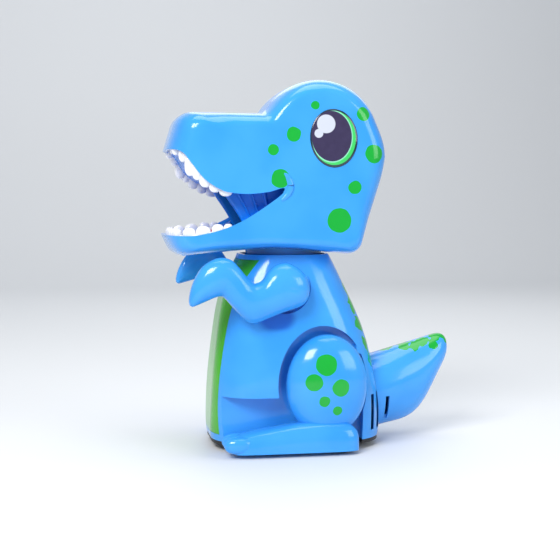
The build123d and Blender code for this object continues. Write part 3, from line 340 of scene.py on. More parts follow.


# %% [markdown]
# The back, the tail and the top of the head carry irregular green patches instead of round spots. A
# patch is a ball in the shell's own space, shown where it meets the surface, with a rougher rim than a
# spot has. The scoop in the body under each upper arm is done here too, as painted shade and a bump.

# %% Shell colours
SPINE_BLOBS = (
    (26.0, 8.0, 106.0, 6.0), (31.0, 14.0, 98.0, 5.0), (36.0, 6.0, 93.0, 6.0), (34.0, 20.0, 87.0, 5.5),
    (42.0, 10.0, 80.0, 7.0), (38.0, 23.0, 76.0, 5.0), (46.0, 14.0, 67.0, 6.0), (42.0, 25.0, 64.0, 5.0),
    (49.0, 8.0, 56.0, 5.0), (46.0, 24.0, 53.0, 4.5),
)
TAIL_BLOBS = (
    (62.0, 0.0, 58.0, 5.0), (72.0, 4.0, 61.0, 5.5), (78.5, 8.0, 61.5, 4.5), (85.0, 6.0, 64.0, 5.5),
    (90.0, 9.0, 61.5, 3.6), (93.0, 4.0, 66.0, 5.0), (99.0, 3.0, 65.0, 4.0),
)
HEAD_BLOBS = (
    (-62.0, 12.0, 206.0, 9.0), (-42.0, 24.0, 209.0, 8.0), (-40.0, 2.0, 209.0, 7.0),
    (0.0, 14.0, 223.0, 8.0), (24.0, 22.0, 224.0, 9.0),
)
head_blue = shell_finish("shell_blue_head", HEAD_SPOTS, HEAD_BLOBS)
thigh_blue = shell_finish("shell_blue_thigh", THIGH_SPOTS, seam=False)
# The scoop under each upper arm: a bump, with painted shade darkening its upper part.
ARM_SCOOP = (-15.5, 82.0, 14.0, 11.5)
body_blue = shell_finish("shell_blue_body", (), SPINE_BLOBS, scoop=ARM_SCOOP)
tail_blue = shell_finish("shell_blue_tail", (), TAIL_BLOBS)
plain_blue = shell_finish("shell_blue_plain", seam=False)
for side in ("left", "right"):
    dress(f"head_shell_{side}", head_blue)
    dress(f"body_shell_{side}", body_blue)
    dress(f"leg_{side}", thigh_blue)
    dress(f"arm_{side}", plain_blue)
dress("tail", tail_blue)
dress("neck_collar", plain_blue)
print("shell finishes:", len([m for m in bpy.data.materials if m.name.startswith("shell_blue")]))

# %% [markdown]
# ## Other plastics
# Each moulded plastic has its own colour and sheen. Small unevenness in the gloss and a fine
# grain keep them from looking like computer paint.

# %% Plain plastics
def plastic(name, colour, second, roughness, grain=0.00002, grain_scale=900.0, coat=0.0):
    """Moulded plastic: colour drifts to second, the gloss varies by a few hundredths."""
    finish = Finish(name, IOR=1.49)
    finish.shader.inputs["Coat Weight"].default_value = coat
    finish.feed("Base Color", finish.mix(finish.noise(35.0, 2.0).step(0.3, 0.75), colour, second))
    finish.feed("Roughness", finish.noise(70.0, 3.0) * 0.08 + (roughness - 0.04))
    finish.bump(finish.noise(grain_scale, 2.0), grain, 0.6)
    return finish.material


belly_green = plastic("belly_green", tint(62, 172, 14), tint(50, 158, 6), 0.2, 0.00001, 420.0, 0.3)
tooth_white = plastic("tooth_white", tint(246, 246, 248), tint(236, 237, 242), 0.22, 0.00001, 420.0, 0.3)
liner_blue = plastic("liner_blue", tint(12, 132, 236), tint(8, 116, 222), 0.28)
tongue_red = plastic("tongue_red", tint(226, 44, 92), tint(206, 30, 76), 0.25, coat=0.2)
ring_yellow = plastic("ring_yellow", tint(250, 196, 30), tint(240, 180, 16), 0.22, coat=0.2)
gear_white = plastic("gear_white", tint(238, 237, 232), tint(226, 225, 218), 0.4)
black_plastic = plastic("black_plastic", tint(30, 30, 33), tint(22, 22, 25), 0.45, 0.00003, 1400.0)
roller_grey = plastic("roller_grey", tint(60, 62, 66), tint(48, 50, 54), 0.42)
tyre_rubber = plastic("tyre_rubber", tint(24, 24, 25), tint(34, 33, 33), 0.78, 0.00006, 1800.0)
PLASTICS = {
    belly_green: ("belly_panel",),
    tooth_white: ("upper_teeth", "lower_teeth"),
    liner_blue: ("mouth_liner", "reservoir_tray"),
    tongue_red: ("tongue",),
    ring_yellow: ("bubble_wheel",),
    gear_white: ("bubble_pinion", "shaft_gear", "idler_gear", "motor_pinion", "fan_impeller", "turntable"),
    black_plastic: (
        "fan_housing", "base_plate", "battery_box", "battery_door", "motor_bracket", "speaker_bracket",
        "switch_body", "power_switch", "speaker", "board_posts",
    ),
    roller_grey: ("roller_left", "roller_right", "drive_wheels"),
    tyre_rubber: ("drive_tyres",),
}
for material, nodes in PLASTICS.items():
    for node in nodes:
        dress(node, material)
print("plastics:", len(PLASTICS))


# %% [markdown]
# ## Metals, cells and circuit board
# Screws and shafts are bright steel with faint drawing lines, and motor cans are duller. Noise
# stretched along one axis makes the lines.

# %% Metals
def metal(name, colour, roughness, line_scale):
    """Bare metal with fine lines along x: noise stretched fifty to one."""
    finish = Finish(name, Metallic=1.0)
    stretched = finish.node("ShaderNodeMapping", {}, {"Vector": finish.place, "Scale": (0.02, 1.0, 1.0)})
    lines = finish.noise(line_scale, 4.0, 0.6, stretched)
    finish.feed("Base Color", finish.mix(lines, colour, tint(150, 150, 152)))
    finish.feed("Roughness", lines * 0.2 + roughness)
    finish.bump(lines, 0.00001, 0.4)
    return finish.material


bright_steel = metal("bright_steel", tint(205, 206, 208), 0.18, 1500.0)
motor_can = metal("motor_can", tint(188, 190, 192), 0.3, 900.0)
contact_metal = metal("contact_metal", tint(222, 220, 212), 0.14, 1200.0)
METALS = {
    bright_steel: (
        "head_screws", "body_screws", "leg_screws", "arm_screw_left", "arm_screw_right", "bubble_wheel_pin",
        "bubble_motor_shaft", "fan_motor_shaft", "roller_pins", "idler_pin", "motor_shaft", "drive_shaft",
        "drive_axle",
    ),
    motor_can: ("bubble_motor", "fan_motor", "drive_motor"),
    contact_metal: ("battery_contacts",),
}
for material, nodes in METALS.items():
    for node in nodes:
        dress(node, material)
print("metals:", len(METALS))

# %% [markdown]
# The cells wear a plain dark sleeve with a copper-coloured end. The board is green lacquer over copper
# traces, which show as slightly lighter and higher paths.

# %% Cells and board
SLEEVE_END = 0.2                # share of the cells' length with the copper colour
cell_low, cell_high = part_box("batteries")
cell_finish = Finish("cell_sleeve", Roughness=0.3)
cell_x = cell_finish.axes()[0]
cap_start = cell_high.x - SLEEVE_END * (cell_high.x - cell_low.x)
copper_end = cell_x.step(cap_start, cap_start + 0.0002)
cell_finish.feed("Base Color", cell_finish.mix(copper_end, tint(30, 32, 38), tint(190, 120, 60)))
cell_finish.bump(cell_finish.noise(300.0), 0.00001, 0.4)
dress("batteries", cell_finish.material)
board_finish = Finish("solder_mask", Roughness=0.35)
traces = board_finish.noise(260.0, 0.0).step(0.5, 0.52)
board_finish.feed("Base Color", board_finish.mix(traces, tint(18, 92, 52), tint(12, 120, 66)))
board_finish.bump(traces, 0.00002, 0.5)
dress("circuit_board", board_finish.material)
dressed = [node for node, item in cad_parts.items() if item.data.materials]
print(len(dressed), "of", len(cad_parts), "design pieces dressed")

# %% [markdown]
# ## Surfaces from rows of points
# Each piece below is a grid of points. A row runs once round the piece, and the rows follow one
# another from one end to the other. The ends close to a point or a line, so the piece is a closed
# skin, as a moulding is.

# %% From grid to piece
def spline(keys, count):
    """A smooth curve through the key rows (Catmull-Rom): each span blends four keys by cubic weights."""
    keys = np.asarray(keys, float)
    place = np.linspace(0, len(keys) - 1, count)
    span = np.minimum(place.astype(int), len(keys) - 2)
    t = (place - span)[:, None]
    a, b, c, d = (keys[np.clip(span + step, 0, len(keys) - 1)] for step in (-1, 0, 1, 2))
    return 0.5 * (2 * b + (c - a) * t + (2 * a - 5 * b + 4 * c - d) * t**2 + (3 * b - a - 3 * c + d) * t**3)


def grid_mesh(name, grids):
    """Grids of drawing points (rows, columns, 3), each closed round its columns, to one smooth mesh."""
    points, faces, start = [], [], 0
    for grid in grids:
        rows, columns = grid.shape[:2]
        ids = start + np.arange(rows * columns).reshape(rows, columns)
        across = np.roll(ids, -1, axis=1)
        faces.append(np.stack([ids[:-1], across[:-1], across[1:], ids[1:]], -1).reshape(-1, 4))
        points.append(grid.reshape(-1, 3))
        start += rows * columns
    mesh = bpy.data.meshes.new(name)
    mesh.from_pydata(to_frame(np.concatenate(points)).tolist(), [], np.concatenate(faces).tolist())
    shaped = bmesh.new()
    shaped.from_mesh(mesh)
    bmesh.ops.remove_doubles(shaped, verts=shaped.verts, dist=2e-6)
    bmesh.ops.recalc_face_normals(shaped, faces=shaped.faces)
    shaped.to_mesh(mesh)
    shaped.free()
    mesh.shade_smooth()
    return mesh


def piece(name, grids, body, material, stands_for=()):
    """One visible piece made of grids: where it rides, its finish, what it stands for."""
    made = bpy.data.objects.new(name, grid_mesh(name, grids))
    bpy.context.scene.collection.objects.link(made)
    made.data.materials.append(material)
    if stands_for:
        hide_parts(*stands_for)
    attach(made, body)
    print(name, len(made.data.vertices), "points")
    return made


# %% [markdown]
# ## Head skin
# The head is a two-shell moulding: flat cheeks, a nose that is round seen from above, a softer
# crown and a tight edge under the jaw. Seen from a point inside the cheek, each direction meets
# the side outline once. So the outline is a distance for each angle, the larger of the jaw
# block's and the crown's, and the skin rolls from cheek to cheek over it as a superellipse whose
# depth and squareness change with the angle. The mouth is then cut through and the wall is 2.4 mm.

# %% Head outline
HEAD_POLE = np.array([-10.0, 165.0])
HEAD_CORNERS = (
    (-80.0, 181.0, 25.0), (-81.0, 131.0, 9.0), (-74.5, 118.0, 9.0), (-15.0, 123.6, 160.0),
    (36.8, 118.4, 9.0), (54.6, 170.0, 80.0), (57.5, 203.8, 25.0), (-72.5, 205.2, 11.0),
)
HEAD_WALL = 2.4
CROWN_AT = np.array([13.5, 188.0])
CROWN_R = 37.48


def rounded(corners, arc_steps=16):
    """Side outline of a block: at each corner an arc that touches both of its sides."""
    corner_points = np.array([corner[:2] for corner in corners])
    arcs = []
    for here, before, after, radius in zip(
        corner_points, np.roll(corner_points, 1, 0), np.roll(corner_points, -1, 0), [c[2] for c in corners]
    ):
        a = (before - here) / np.linalg.norm(before - here)
        b = (after - here) / np.linalg.norm(after - here)
        half = np.arccos(a @ b) / 2
        centre = here + (a + b) / np.linalg.norm(a + b) * radius / np.sin(half)
        start = here + a * radius / np.tan(half) - centre
        end = here + b * radius / np.tan(half) - centre
        turn = np.pi - 2 * half
        share = np.linspace(0, 1, arc_steps)[:, None]
        swing = np.sin((1 - share) * turn) * start + np.sin(share * turn) * end
        arcs.append(centre + swing / np.sin(turn))
    ring = np.concatenate([*arcs, arcs[0][:1]])
    walked = np.insert(np.cumsum(np.linalg.norm(np.diff(ring, axis=0), axis=1)), 0, 0)
    even = np.linspace(0, walked[-1], 4000, endpoint=False)
    return np.stack([np.interp(even, walked, ring[:, 0]), np.interp(even, walked, ring[:, 1])], -1)


HEAD_COLUMNS = 440
head_angle = np.linspace(-np.pi, np.pi, HEAD_COLUMNS, endpoint=False)
block = rounded(HEAD_CORNERS) - HEAD_POLE
block_angle = np.arctan2(block[:, 1], block[:, 0])
block_reach = np.interp(head_angle, block_angle, np.hypot(*block.T), period=2 * np.pi)
ray = np.stack([np.cos(head_angle), np.sin(head_angle)], -1)
to_crown = CROWN_AT - HEAD_POLE
along = ray @ to_crown
crown_reach = along + np.sqrt(np.maximum(CROWN_R**2 - (to_crown @ to_crown - along**2), 0))
CROWN_BLEND = 5.0
overlap = np.maximum(CROWN_BLEND - np.abs(block_reach - crown_reach), 0)
head_reach = np.maximum(block_reach, crown_reach) + overlap**2 / (4 * CROWN_BLEND)
print("head reach from", head_reach.min().round(1), "to", head_reach.max().round(1), "mm")

# %% [markdown]
# Towards the top, the nose and the jaw the cheek rolls over to the other side. The table says how deep
# and how square that roll is in each direction. A slanted stretch of outline needs a deeper roll for the
# same look, so the depth is divided by the cosine of the slant, and then smoothed.

# %% Head surface
ROLL = np.array([                # direction in degrees, depth of the rolled edge, squareness
    (-180, 20, 2.6), (-155, 15, 2.8), (-140, 8, 3.4), (-90, 7, 4.2), (-50, 8, 3.8), (-25, 14, 3.0),
    (0, 16, 2.8), (40, 15, 2.8), (70, 13, 3.0), (105, 11, 3.2), (130, 12, 3.2), (155, 16, 2.8),
    (180, 20, 2.6),
])
CHEEK_CROWN = 0.5                # how far the cheek swells from flat
slope = np.gradient(head_reach, head_angle)
lean = np.clip(head_reach / np.hypot(head_reach, slope), 0.45, 1)
depth = np.interp(np.degrees(head_angle), ROLL[:, 0], ROLL[:, 1]) / lean
square = np.interp(np.degrees(head_angle), ROLL[:, 0], ROLL[:, 2])
SMOOTH = 12                      # columns to each side that the depth is averaged over
window = np.hanning(2 * SMOOTH + 1) / np.hanning(2 * SMOOTH + 1).sum()
depth = np.convolve(np.pad(depth, SMOOTH, mode="wrap"), window, "valid")
roll_angle = np.linspace(0, np.pi, 35)[1:-1, None]
roll_reach = head_reach - depth * (1 - np.abs(np.sin(roll_angle)) ** (2 / square))
roll_y = -CHEEK * np.sign(np.cos(roll_angle)) * np.abs(np.cos(roll_angle)) ** (2 / square)
share = np.linspace(0, 1, 9)[:, None]
cheek_reach = share * (head_reach - depth)
cheek_y = -(CHEEK + CHEEK_CROWN * (1 - share**2) ** 2) * np.ones_like(head_reach)
reach = np.concatenate([cheek_reach, roll_reach, cheek_reach[::-1]])
head_y = np.concatenate([cheek_y, roll_y, -cheek_y[::-1]])
head_grid = np.stack([HEAD_POLE[0] + reach * ray[:, 0], head_y, HEAD_POLE[1] + reach * ray[:, 1]], -1)
head_shells = ("head_shell_left", "head_shell_right")
head_skin = piece("head_skin", [head_grid], "toy_body", head_blue, head_shells)
wall = head_skin.modifiers.new("wall", "SOLIDIFY")
wall.thickness = HEAD_WALL * MM
wall.offset = -1

# %% [markdown]
# The mouth runs right through the head from cheek to cheek. Its two lips and its corner are one smooth
# side outline, carried across as a cutter.

# %% Cutting tools
def carve(made, cutter_mesh, crossing=False):
    """Cut the closed cutter mesh out of a piece for good; crossing is for a piece whose grids overlap."""
    cutter = bpy.data.objects.new("cutter", cutter_mesh)
    bpy.context.scene.collection.objects.link(cutter)
    cut = made.modifiers.new("cut", "BOOLEAN")
    cut.operation = "DIFFERENCE"
    cut.solver = "EXACT"
    cut.use_self = crossing
    cut.object = cutter
    shown = made.evaluated_get(bpy.context.evaluated_depsgraph_get())
    carved = bpy.data.meshes.new_from_object(shown)
    made.modifiers.clear()
    made.data = carved
    bpy.data.objects.remove(cutter)
    print(made.name, "carved to", len(carved.vertices), "points")


def prism_mesh(name, side_points, low_y, high_y):
    """A side outline (x, z) carried straight across from low_y to high_y, closed at both ends."""
    count = len(side_points)
    ring = np.arange(count)
    points = [np.insert(np.asarray(side_points, float), 1, y, axis=1) for y in (low_y, high_y)]
    walls = np.stack([ring, np.roll(ring, -1), np.roll(ring, -1) + count, ring + count], -1).tolist()
    mesh = bpy.data.meshes.new(name)
    ends = [ring.tolist()[::-1], (ring + count).tolist()]
    mesh.from_pydata(to_frame(np.concatenate(points)).tolist(), [], [*walls, *ends])
    shaped = bmesh.new()
    shaped.from_mesh(mesh)
    bmesh.ops.recalc_face_normals(shaped, faces=shaped.faces)
    shaped.to_mesh(mesh)
    shaped.free()
    return mesh


# %% Mouth
MOUTH_CUT_HALF = 60.0            # the cutter sticks out of both cheeks
LIPS = (
    (-100.0, 131.0), (-81.5, 131.2), (-72.0, 131.1), (-62.7, 131.5), (-46.8, 135.3), (-32.0, 142.3),
    (-15.1, 153.7), (-11.6, 157.6), (-12.6, 159.2), (-21.0, 156.9), (-32.0, 155.7), (-41.6, 156.2),
    (-49.1, 158.1), (-58.5, 164.2), (-66.2, 173.5), (-71.0, 179.6), (-76.0, 182.0), (-82.0, 182.4),
    (-100.0, 182.4),
)
mouth_cutter = prism_mesh("mouth_cutter", spline(LIPS, 150), -MOUTH_CUT_HALF, MOUTH_CUT_HALF)
carve(head_skin, mouth_cutter)
head_skin.data.set_sharp_from_angle(angle=np.radians(40))

# %% [markdown]
# ## Eyes
# Each eye is a printed, slightly domed disc set on the cheek: a dark rim, a green iris of which
# only a crescent shows, a near-black pupil and two painted glints. The print is worked out from
# distances in the disc's own plane.

# %% Eyes
EYE_HALF = (14.4, 17.3)
EYE_TILT = 4.0
EYE_RIM = 0.5                    # height of the disc over the cheek at its rim, and of the dome on it
EYE_DOME = 0.9
dome = np.linspace(0, 0.96, 14)
disc_share = np.concatenate([dome, [0.985, 1.0, 1.0, 0.0]])[:, None]
disc_rise = np.concatenate([EYE_RIM + EYE_DOME * np.sqrt(1 - dome**2), [0.6, 0.3, -0.6, -0.6]])[:, None]
turn = np.linspace(0, 2 * np.pi, 96, endpoint=False)
lean_turn = np.radians(EYE_TILT)
disc_u = EYE_HALF[0] * disc_share * np.cos(turn)
disc_w = EYE_HALF[1] * disc_share * np.sin(turn)
disc_x = EYE_AT[0] + disc_u * np.cos(lean_turn) - disc_w * np.sin(lean_turn)
disc_z = EYE_AT[1] + disc_u * np.sin(lean_turn) + disc_w * np.cos(lean_turn)
eye_print = Finish("eye_print", Roughness=0.12, IOR=1.5)
eye_print.shader.inputs["Coat Weight"].default_value = 0.6
eye_x, _, eye_z = eye_print.axes()
centre_x, _, centre_z = to_frame((EYE_AT[0], 0.0, EYE_AT[1]))
u0 = (eye_x - centre_x) / MM
w0 = (eye_z - centre_z) / MM
u = u0 * float(np.cos(lean_turn)) + w0 * float(np.sin(lean_turn))
w = w0 * float(np.cos(lean_turn)) - u0 * float(np.sin(lean_turn))


def oval(centre_u, centre_w, half_u, half_w):
    """Distance from an oval's centre as a share of its half width: below 1 is inside."""
    a = (u - centre_u) / half_u
    b = (w - centre_w) / half_w
    return (a * a + b * b).root()


iris = oval(-0.15, 0.25, 13.3, 16.0).step(1.01, 0.99)
pupil = oval(-1.42, 1.33, 12.2, 14.9).step(1.01, 0.99)
large_glint = oval(-4.3, 8.7, 5.5, 5.5).step(1.03, 0.97)
small_glint = oval(-9.1, 3.4, 2.6, 2.6).step(1.06, 0.94)
mint = oval(-1.42, 1.33, 12.2, 14.9).step(1.08, 1.0)
colour = eye_print.mix(iris, tint(2, 44, 56), eye_print.mix(mint, tint(56, 200, 96), tint(150, 226, 196)))
plum = eye_print.mix(eye_print.noise(240.0), tint(44, 36, 70), tint(56, 48, 84))
colour = eye_print.mix(pupil, colour, plum)
colour = eye_print.mix(large_glint.most(small_glint), colour, tint(196, 202, 216))
eye_print.feed("Base Color", colour)
for side, hand in ((-1, "left"), (1, "right")):
    disc = np.stack([disc_x, side * (CHEEK + disc_rise) * np.ones_like(disc_x), disc_z], -1)
    piece(f"eye_disc_{hand}", [disc], "toy_body", eye_print.material, (f"eye_{hand}",))

# %% [markdown]
# ## Teeth
# The teeth are two white inserts that follow the inside of the lips. Each tooth is a small egg
# on a rail, and the rail is a round bar carried along the jaw. The nose is round seen from
# above, so the same superellipse that rolls the nose gives the place of the front teeth.

# %% Teeth
def egg(centre, halves, power=2.0, rows=20, columns=36):
    """Superellipsoid: one angle runs from top to foot, a second round the z axis."""
    a = np.linspace(0, np.pi, rows)[:, None]
    b = np.linspace(0, 2 * np.pi, columns, endpoint=False)[None, :]
    wide = np.abs(np.sin(a)) ** (2 / power)
    wide[[0, -1]] = 0
    x = halves[0] * wide * np.cos(b)
    y = halves[1] * wide * np.sin(b)
    z = halves[2] * np.sign(np.cos(a)) * np.abs(np.cos(a)) ** (2 / power) * np.ones_like(b)
    return np.stack([centre[0] + x, centre[1] + y, centre[2] + z], -1)


NOSE_X = -81.0                   # the foremost point of the jaw
NOSE_ROLL = 20.0                 # depth and squareness of the nose's superellipse
NOSE_SQUARE = 2.6
TOOTH_HALF = 1.9                 # half a tooth's thickness
TOOTH_INSET = HEAD_WALL + TOOTH_HALF
RAIL_R = 1.8


def jaw_half(x, nose_x=NOSE_X):
    """Half the jaw's inner width at x: the nose superellipse less the wall and half a tooth."""
    share = np.clip(1 - (np.asarray(x, float) - nose_x) / NOSE_ROLL, 0, 1)
    return CHEEK * (1 - share**NOSE_SQUARE) ** (1 / NOSE_SQUARE) - TOOTH_INSET


def jaw_front(y, nose_x):
    """The jaw's inner front at y: the same superellipse the other way round."""
    share = np.clip(np.abs(y) / CHEEK, 0, 1)
    return nose_x + NOSE_ROLL * (1 - (1 - share**NOSE_SQUARE) ** (1 / NOSE_SQUARE)) + TOOTH_INSET


def bar(path, radius, columns=14):
    """A round bar along a path: circles stand square to it, of one radius or a radius for each point."""
    ahead = np.gradient(path, axis=0)
    ahead /= np.linalg.norm(ahead, axis=1, keepdims=True)
    sideways = np.cross(ahead, (0.0, 0.0, 1.0))
    sideways /= np.linalg.norm(sideways, axis=1, keepdims=True)
    upward = np.cross(sideways, ahead)
    angle = np.linspace(0, 2 * np.pi, columns, endpoint=False)[None, :, None]
    size = radius * np.ones(len(path))
    size[[0, -1]] = 0
    ring = np.cos(angle) * sideways[:, None] + np.sin(angle) * upward[:, None]
    return path[:, None] + ring * size[:, None, None]


def tooth_row(side_teeth, front_teeth, nose_x, front_z, front_h, rail_shift):
    """Eggs along both sides and round the front, with the rail that joins them."""
    grids, rail = [], []
    for x, z, half_w, half_h in side_teeth:
        y = float(jaw_half(x, nose_x))
        rail.append((x, -y, z + rail_shift))
        for side in (-1, 1):
            halves = (half_w, TOOTH_HALF, half_h)
            grids.append(egg((x, side * y, z), halves, power=2.4, rows=14, columns=20))
    for y, half_w in front_teeth:
        x = float(jaw_front(y, nose_x))
        rail.append((x, -y, front_z + rail_shift))
        for side in (-1, 1) if y else (1,):
            halves = (TOOTH_HALF, half_w, front_h)
            grids.append(egg((x, side * y, front_z), halves, power=2.4, rows=14, columns=20))
    rail = np.array(rail)
    whole = np.concatenate([rail, (rail * (1, -1, 1))[::-1]])
    return [*grids, bar(spline(whole, 120), RAIL_R)]


UPPER_SIDE = (
    (-45.8, 158.2, 4.2, 4.0), (-52.2, 160.6, 3.6, 4.2), (-57.8, 164.2, 3.8, 4.8), (-62.4, 168.8, 3.2, 5.2),
    (-66.2, 172.4, 3.8, 6.4), (-70.2, 179.0, 3.0, 4.8), (-74.0, 182.8, 2.8, 4.4),
)
LOWER_SIDE = (
    (-44.4, 135.6, 2.8, 2.6), (-50.6, 134.4, 3.6, 3.6), (-59.2, 132.9, 4.4, 4.0), (-67.4, 132.0, 4.0, 3.8),
    (-73.4, 131.6, 2.6, 3.4),
)
UPPER_FRONT = ((28.0, 3.0), (21.6, 3.2), (14.6, 3.4), (7.4, 3.4), (0.0, 3.4))
upper_row = tooth_row(UPPER_SIDE, UPPER_FRONT, nose_x=-78.2, front_z=186.2, front_h=5.0, rail_shift=2.0)
piece("tooth_row_upper", upper_row, "toy_body", tooth_white, ("upper_teeth",))
LOWER_FRONT = ((28.4, 2.6), (23.0, 2.8), (17.2, 2.8), (11.4, 2.8), (5.6, 2.8), (0.0, 2.8))
lower_row = tooth_row(LOWER_SIDE, LOWER_FRONT, nose_x=-80.6, front_z=131.4, front_h=3.8, rail_shift=-2.0)
piece("tooth_row_lower", lower_row, "toy_body", tooth_white, ("lower_teeth",))

# %% [markdown]
# ## Mouth lining
# Behind the teeth a deep-blue insert lines the mouth. Its two side walls stand beside the ring
# wheel, with ribs that stiffen them and a rolled front edge. A floor and a roof plate follow the
# lips from inside. A wall is a plan outline carried upwards, and a plate is a thin section carried
# from the front of the mouth to its corner.

# %% Mouth lining
WALL_Y = 25.6
WALL_HALF = 1.4
RIBS = (-41.0, -32.0, -23.0)
RIB_HALF = 1.1
RIB_HIGH = 1.5
CORNER_X = -9.4                  # the lining runs from the mouth's corner to its front edge
EDGE_X = -47.5
wall_x = np.linspace(CORNER_X, EDGE_X, 100)
ribs = sum(np.exp(-(((wall_x - rib) / RIB_HALF) ** 4)) for rib in RIBS) * RIB_HIGH
nose_turn = np.linspace(np.pi / 2, -np.pi / 2, 15)[1:-1]
plan_x = np.concatenate([wall_x, EDGE_X - 3.0 * np.cos(nose_turn), wall_x[::-1]])
outer_y = WALL_Y + WALL_HALF + ribs
inner_y = (WALL_Y - WALL_HALF) * np.ones(100)
plan_y = np.concatenate([outer_y, WALL_Y + WALL_HALF * np.sin(nose_turn), inner_y])


def lining_wall(side):
    """The plan outline carried up: each row's length is its key's share of the full length."""
    rows = spline([(127.5, 0.56), (137.0, 0.6), (146.0, 0.72), (156.0, 0.88), (168.0, 1.0)], 24)
    rows = np.concatenate([rows[:1], rows, rows[-1:]])
    open_share = np.ones(len(rows))
    open_share[[0, -1]] = 0
    x = plan_x[0] + (plan_x - plan_x[0]) * rows[:, 1:]
    y = side * (WALL_Y + (plan_y - WALL_Y) * open_share[:, None])
    return np.stack([x, y, rows[:, :1] * np.ones_like(plan_x)], -1)


def lining_plate(curve, low_y, high_y, thick):
    """A plate under a side curve (x, z), or over it where thick is negative: each row runs out and back."""
    line = spline(curve, 60)
    across = np.concatenate([np.linspace(0, 1, 12), np.linspace(1, 0, 12)])
    drop = np.repeat((0.0, thick), 12)
    low = np.broadcast_to(low_y(line[:, 0]), 60)
    high = np.broadcast_to(high_y(line[:, 0]), 60)
    y = low[:, None] + (high - low)[:, None] * across
    x = line[:, :1] * np.ones_like(across)
    grid = np.stack([x, y, line[:, 1:2] - drop], -1)
    ends = [end * (1, 1, 0) + (0, 0, end[:, 2].mean()) for end in (grid[0], grid[-1])]
    return np.stack([ends[0], *grid, ends[1]])


FLOOR_FRONT = ((-75.0, 129.2), (-62.7, 129.4), (-54.0, 130.8), (-47.6, 132.6))
FLOOR_BACK = ((-47.6, 132.6), (-40.0, 136.0), (-32.0, 140.0), (-22.0, 146.4), (CORNER_X, 154.0))
ROOF_FRONT = (
    (-74.0, 183.4), (-70.5, 179.0), (-66.0, 172.0), (-61.5, 167.2), (-56.5, 163.6), (-50.5, 161.6),
    (-44.0, 162.4),
)
ROOF_BACK = ((-44.0, 163.4), (-34.0, 161.8), (-24.0, 161.2), (CORNER_X, 161.0))
PLATE = 1.4                      # thickness of the floor and the roof
LEDGE = (26.8, 37.8)             # from the side wall to the inside of the cheek


def plate_half(x):
    """Half the width of a front plate at x: just inside the teeth."""
    return np.clip(jaw_half(x) - 0.6, 4, 36.4)


lining = [lining_wall(-1), lining_wall(1)]
for curve, thick in ((FLOOR_FRONT, PLATE), (ROOF_FRONT, -PLATE)):
    lining.append(lining_plate(curve, lambda x: -plate_half(x), plate_half, thick))
for curve, thick in ((FLOOR_BACK, PLATE), (ROOF_BACK, -PLATE)):
    lining.append(lining_plate(curve, lambda x: LEDGE[0], lambda x: LEDGE[1], thick))
    lining.append(lining_plate(curve, lambda x: -LEDGE[1], lambda x: -LEDGE[0], thick))
lining_skin = piece("mouth_lining", lining, "toy_body", liner_blue, ("mouth_liner",))
lining_skin.data.set_sharp_from_angle(angle=np.radians(40))

# %% [markdown]
# ## Smile folds
# At the corner of the mouth the cheek is pinched into a short fold, which gives the smile. It is
# a tapered bar laid on the cheek along a small curve.

# %% Smile folds
FOLD_Y = 40.6                    # its middle lies just inside the cheek
FOLD = ((-13.6, 151.6), (-9.4, 155.6), (-7.8, 160.6), (-9.6, 165.8), (-12.6, 168.4))
fold_line = spline(FOLD, 40)
fold_size = 2.3 * np.sin(np.linspace(0.12, 0.97, 40) * np.pi) ** 0.8
for side, hand in ((-1, "left"), (1, "right")):
    fold_path = np.stack([fold_line[:, 0], side * FOLD_Y * np.ones(40), fold_line[:, 1]], -1)
    piece(f"smile_fold_{hand}", [bar(fold_path, fold_size, 20)], "toy_body", plain_blue)

# %% [markdown]
# ## Arms
# An arm is one soft moulding: a round shoulder, an upper arm that drops to the elbow, a forearm
# that rises again and a drooping hand. Its side outline is two banks that run from the back of
# the shoulder to the fingertip, and the surface swells between them over a spine. The right arm
# rests a few degrees higher.

# %% Pillow
def puff(upper, lower, spine, thick, side, power=2.3, columns=90, steps=22):
    """A pillow from two banks and the line between them, all as (x, z) keys of equal number.

    From spine to bank the side place goes as sin(a)^(2/power) and the height as cos(a)^(2/power),
    which is a superellipse. thick rows give the middle y and the height outwards and inwards.
    """
    upper, lower, spine, thick = (spline(keys, columns) for keys in (upper, lower, spine, thick))
    bank = np.concatenate([upper, lower[::-1]])
    ridge = np.concatenate([spine, spine[::-1]])
    body = np.concatenate([thick, thick[::-1]])
    a = np.linspace(0, np.pi, 2 * steps + 1)[:, None]
    share = np.abs(np.sin(a)) ** (2 / power)
    share[[0, -1]] = 0
    rise = np.sign(np.cos(a)) * np.abs(np.cos(a)) ** (2 / power)
    place = ridge + (bank - ridge) * share[:, :, None]
    height = body[:, 0] + np.where(rise > 0, body[:, 1], body[:, 2]) * rise
    return np.stack([place[..., 0], side * height, place[..., 1]], -1)


# %% Arms
SHOULDER = (-9.9, 100.1)
ARM_TOP = (
    (3.8, 99.0), (2.2, 105.6), (-2.5, 111.2), (-9.9, 115.0), (-17.0, 113.6), (-21.6, 109.6), (-25.0, 104.8),
    (-29.4, 103.0), (-32.4, 105.2), (-35.5, 108.4), (-39.2, 112.9), (-43.6, 117.0), (-49.5, 118.5),
    (-55.5, 116.8), (-61.0, 112.8), (-65.2, 106.4), (-67.7, 99.5), (-68.6, 93.6), (-68.2, 90.6),
)
ARM_FOOT = (
    (3.8, 99.0), (2.6, 93.6), (-0.8, 89.6), (-6.8, 87.2), (-13.6, 85.0), (-21.0, 82.2), (-27.5, 79.9),
    (-32.2, 79.6), (-36.6, 82.4), (-41.4, 87.4), (-45.2, 91.9), (-48.4, 95.2), (-50.8, 95.8),
    (-53.8, 95.0), (-57.5, 93.4), (-61.5, 91.7), (-64.6, 90.4), (-66.6, 89.8), (-68.2, 90.6),
)
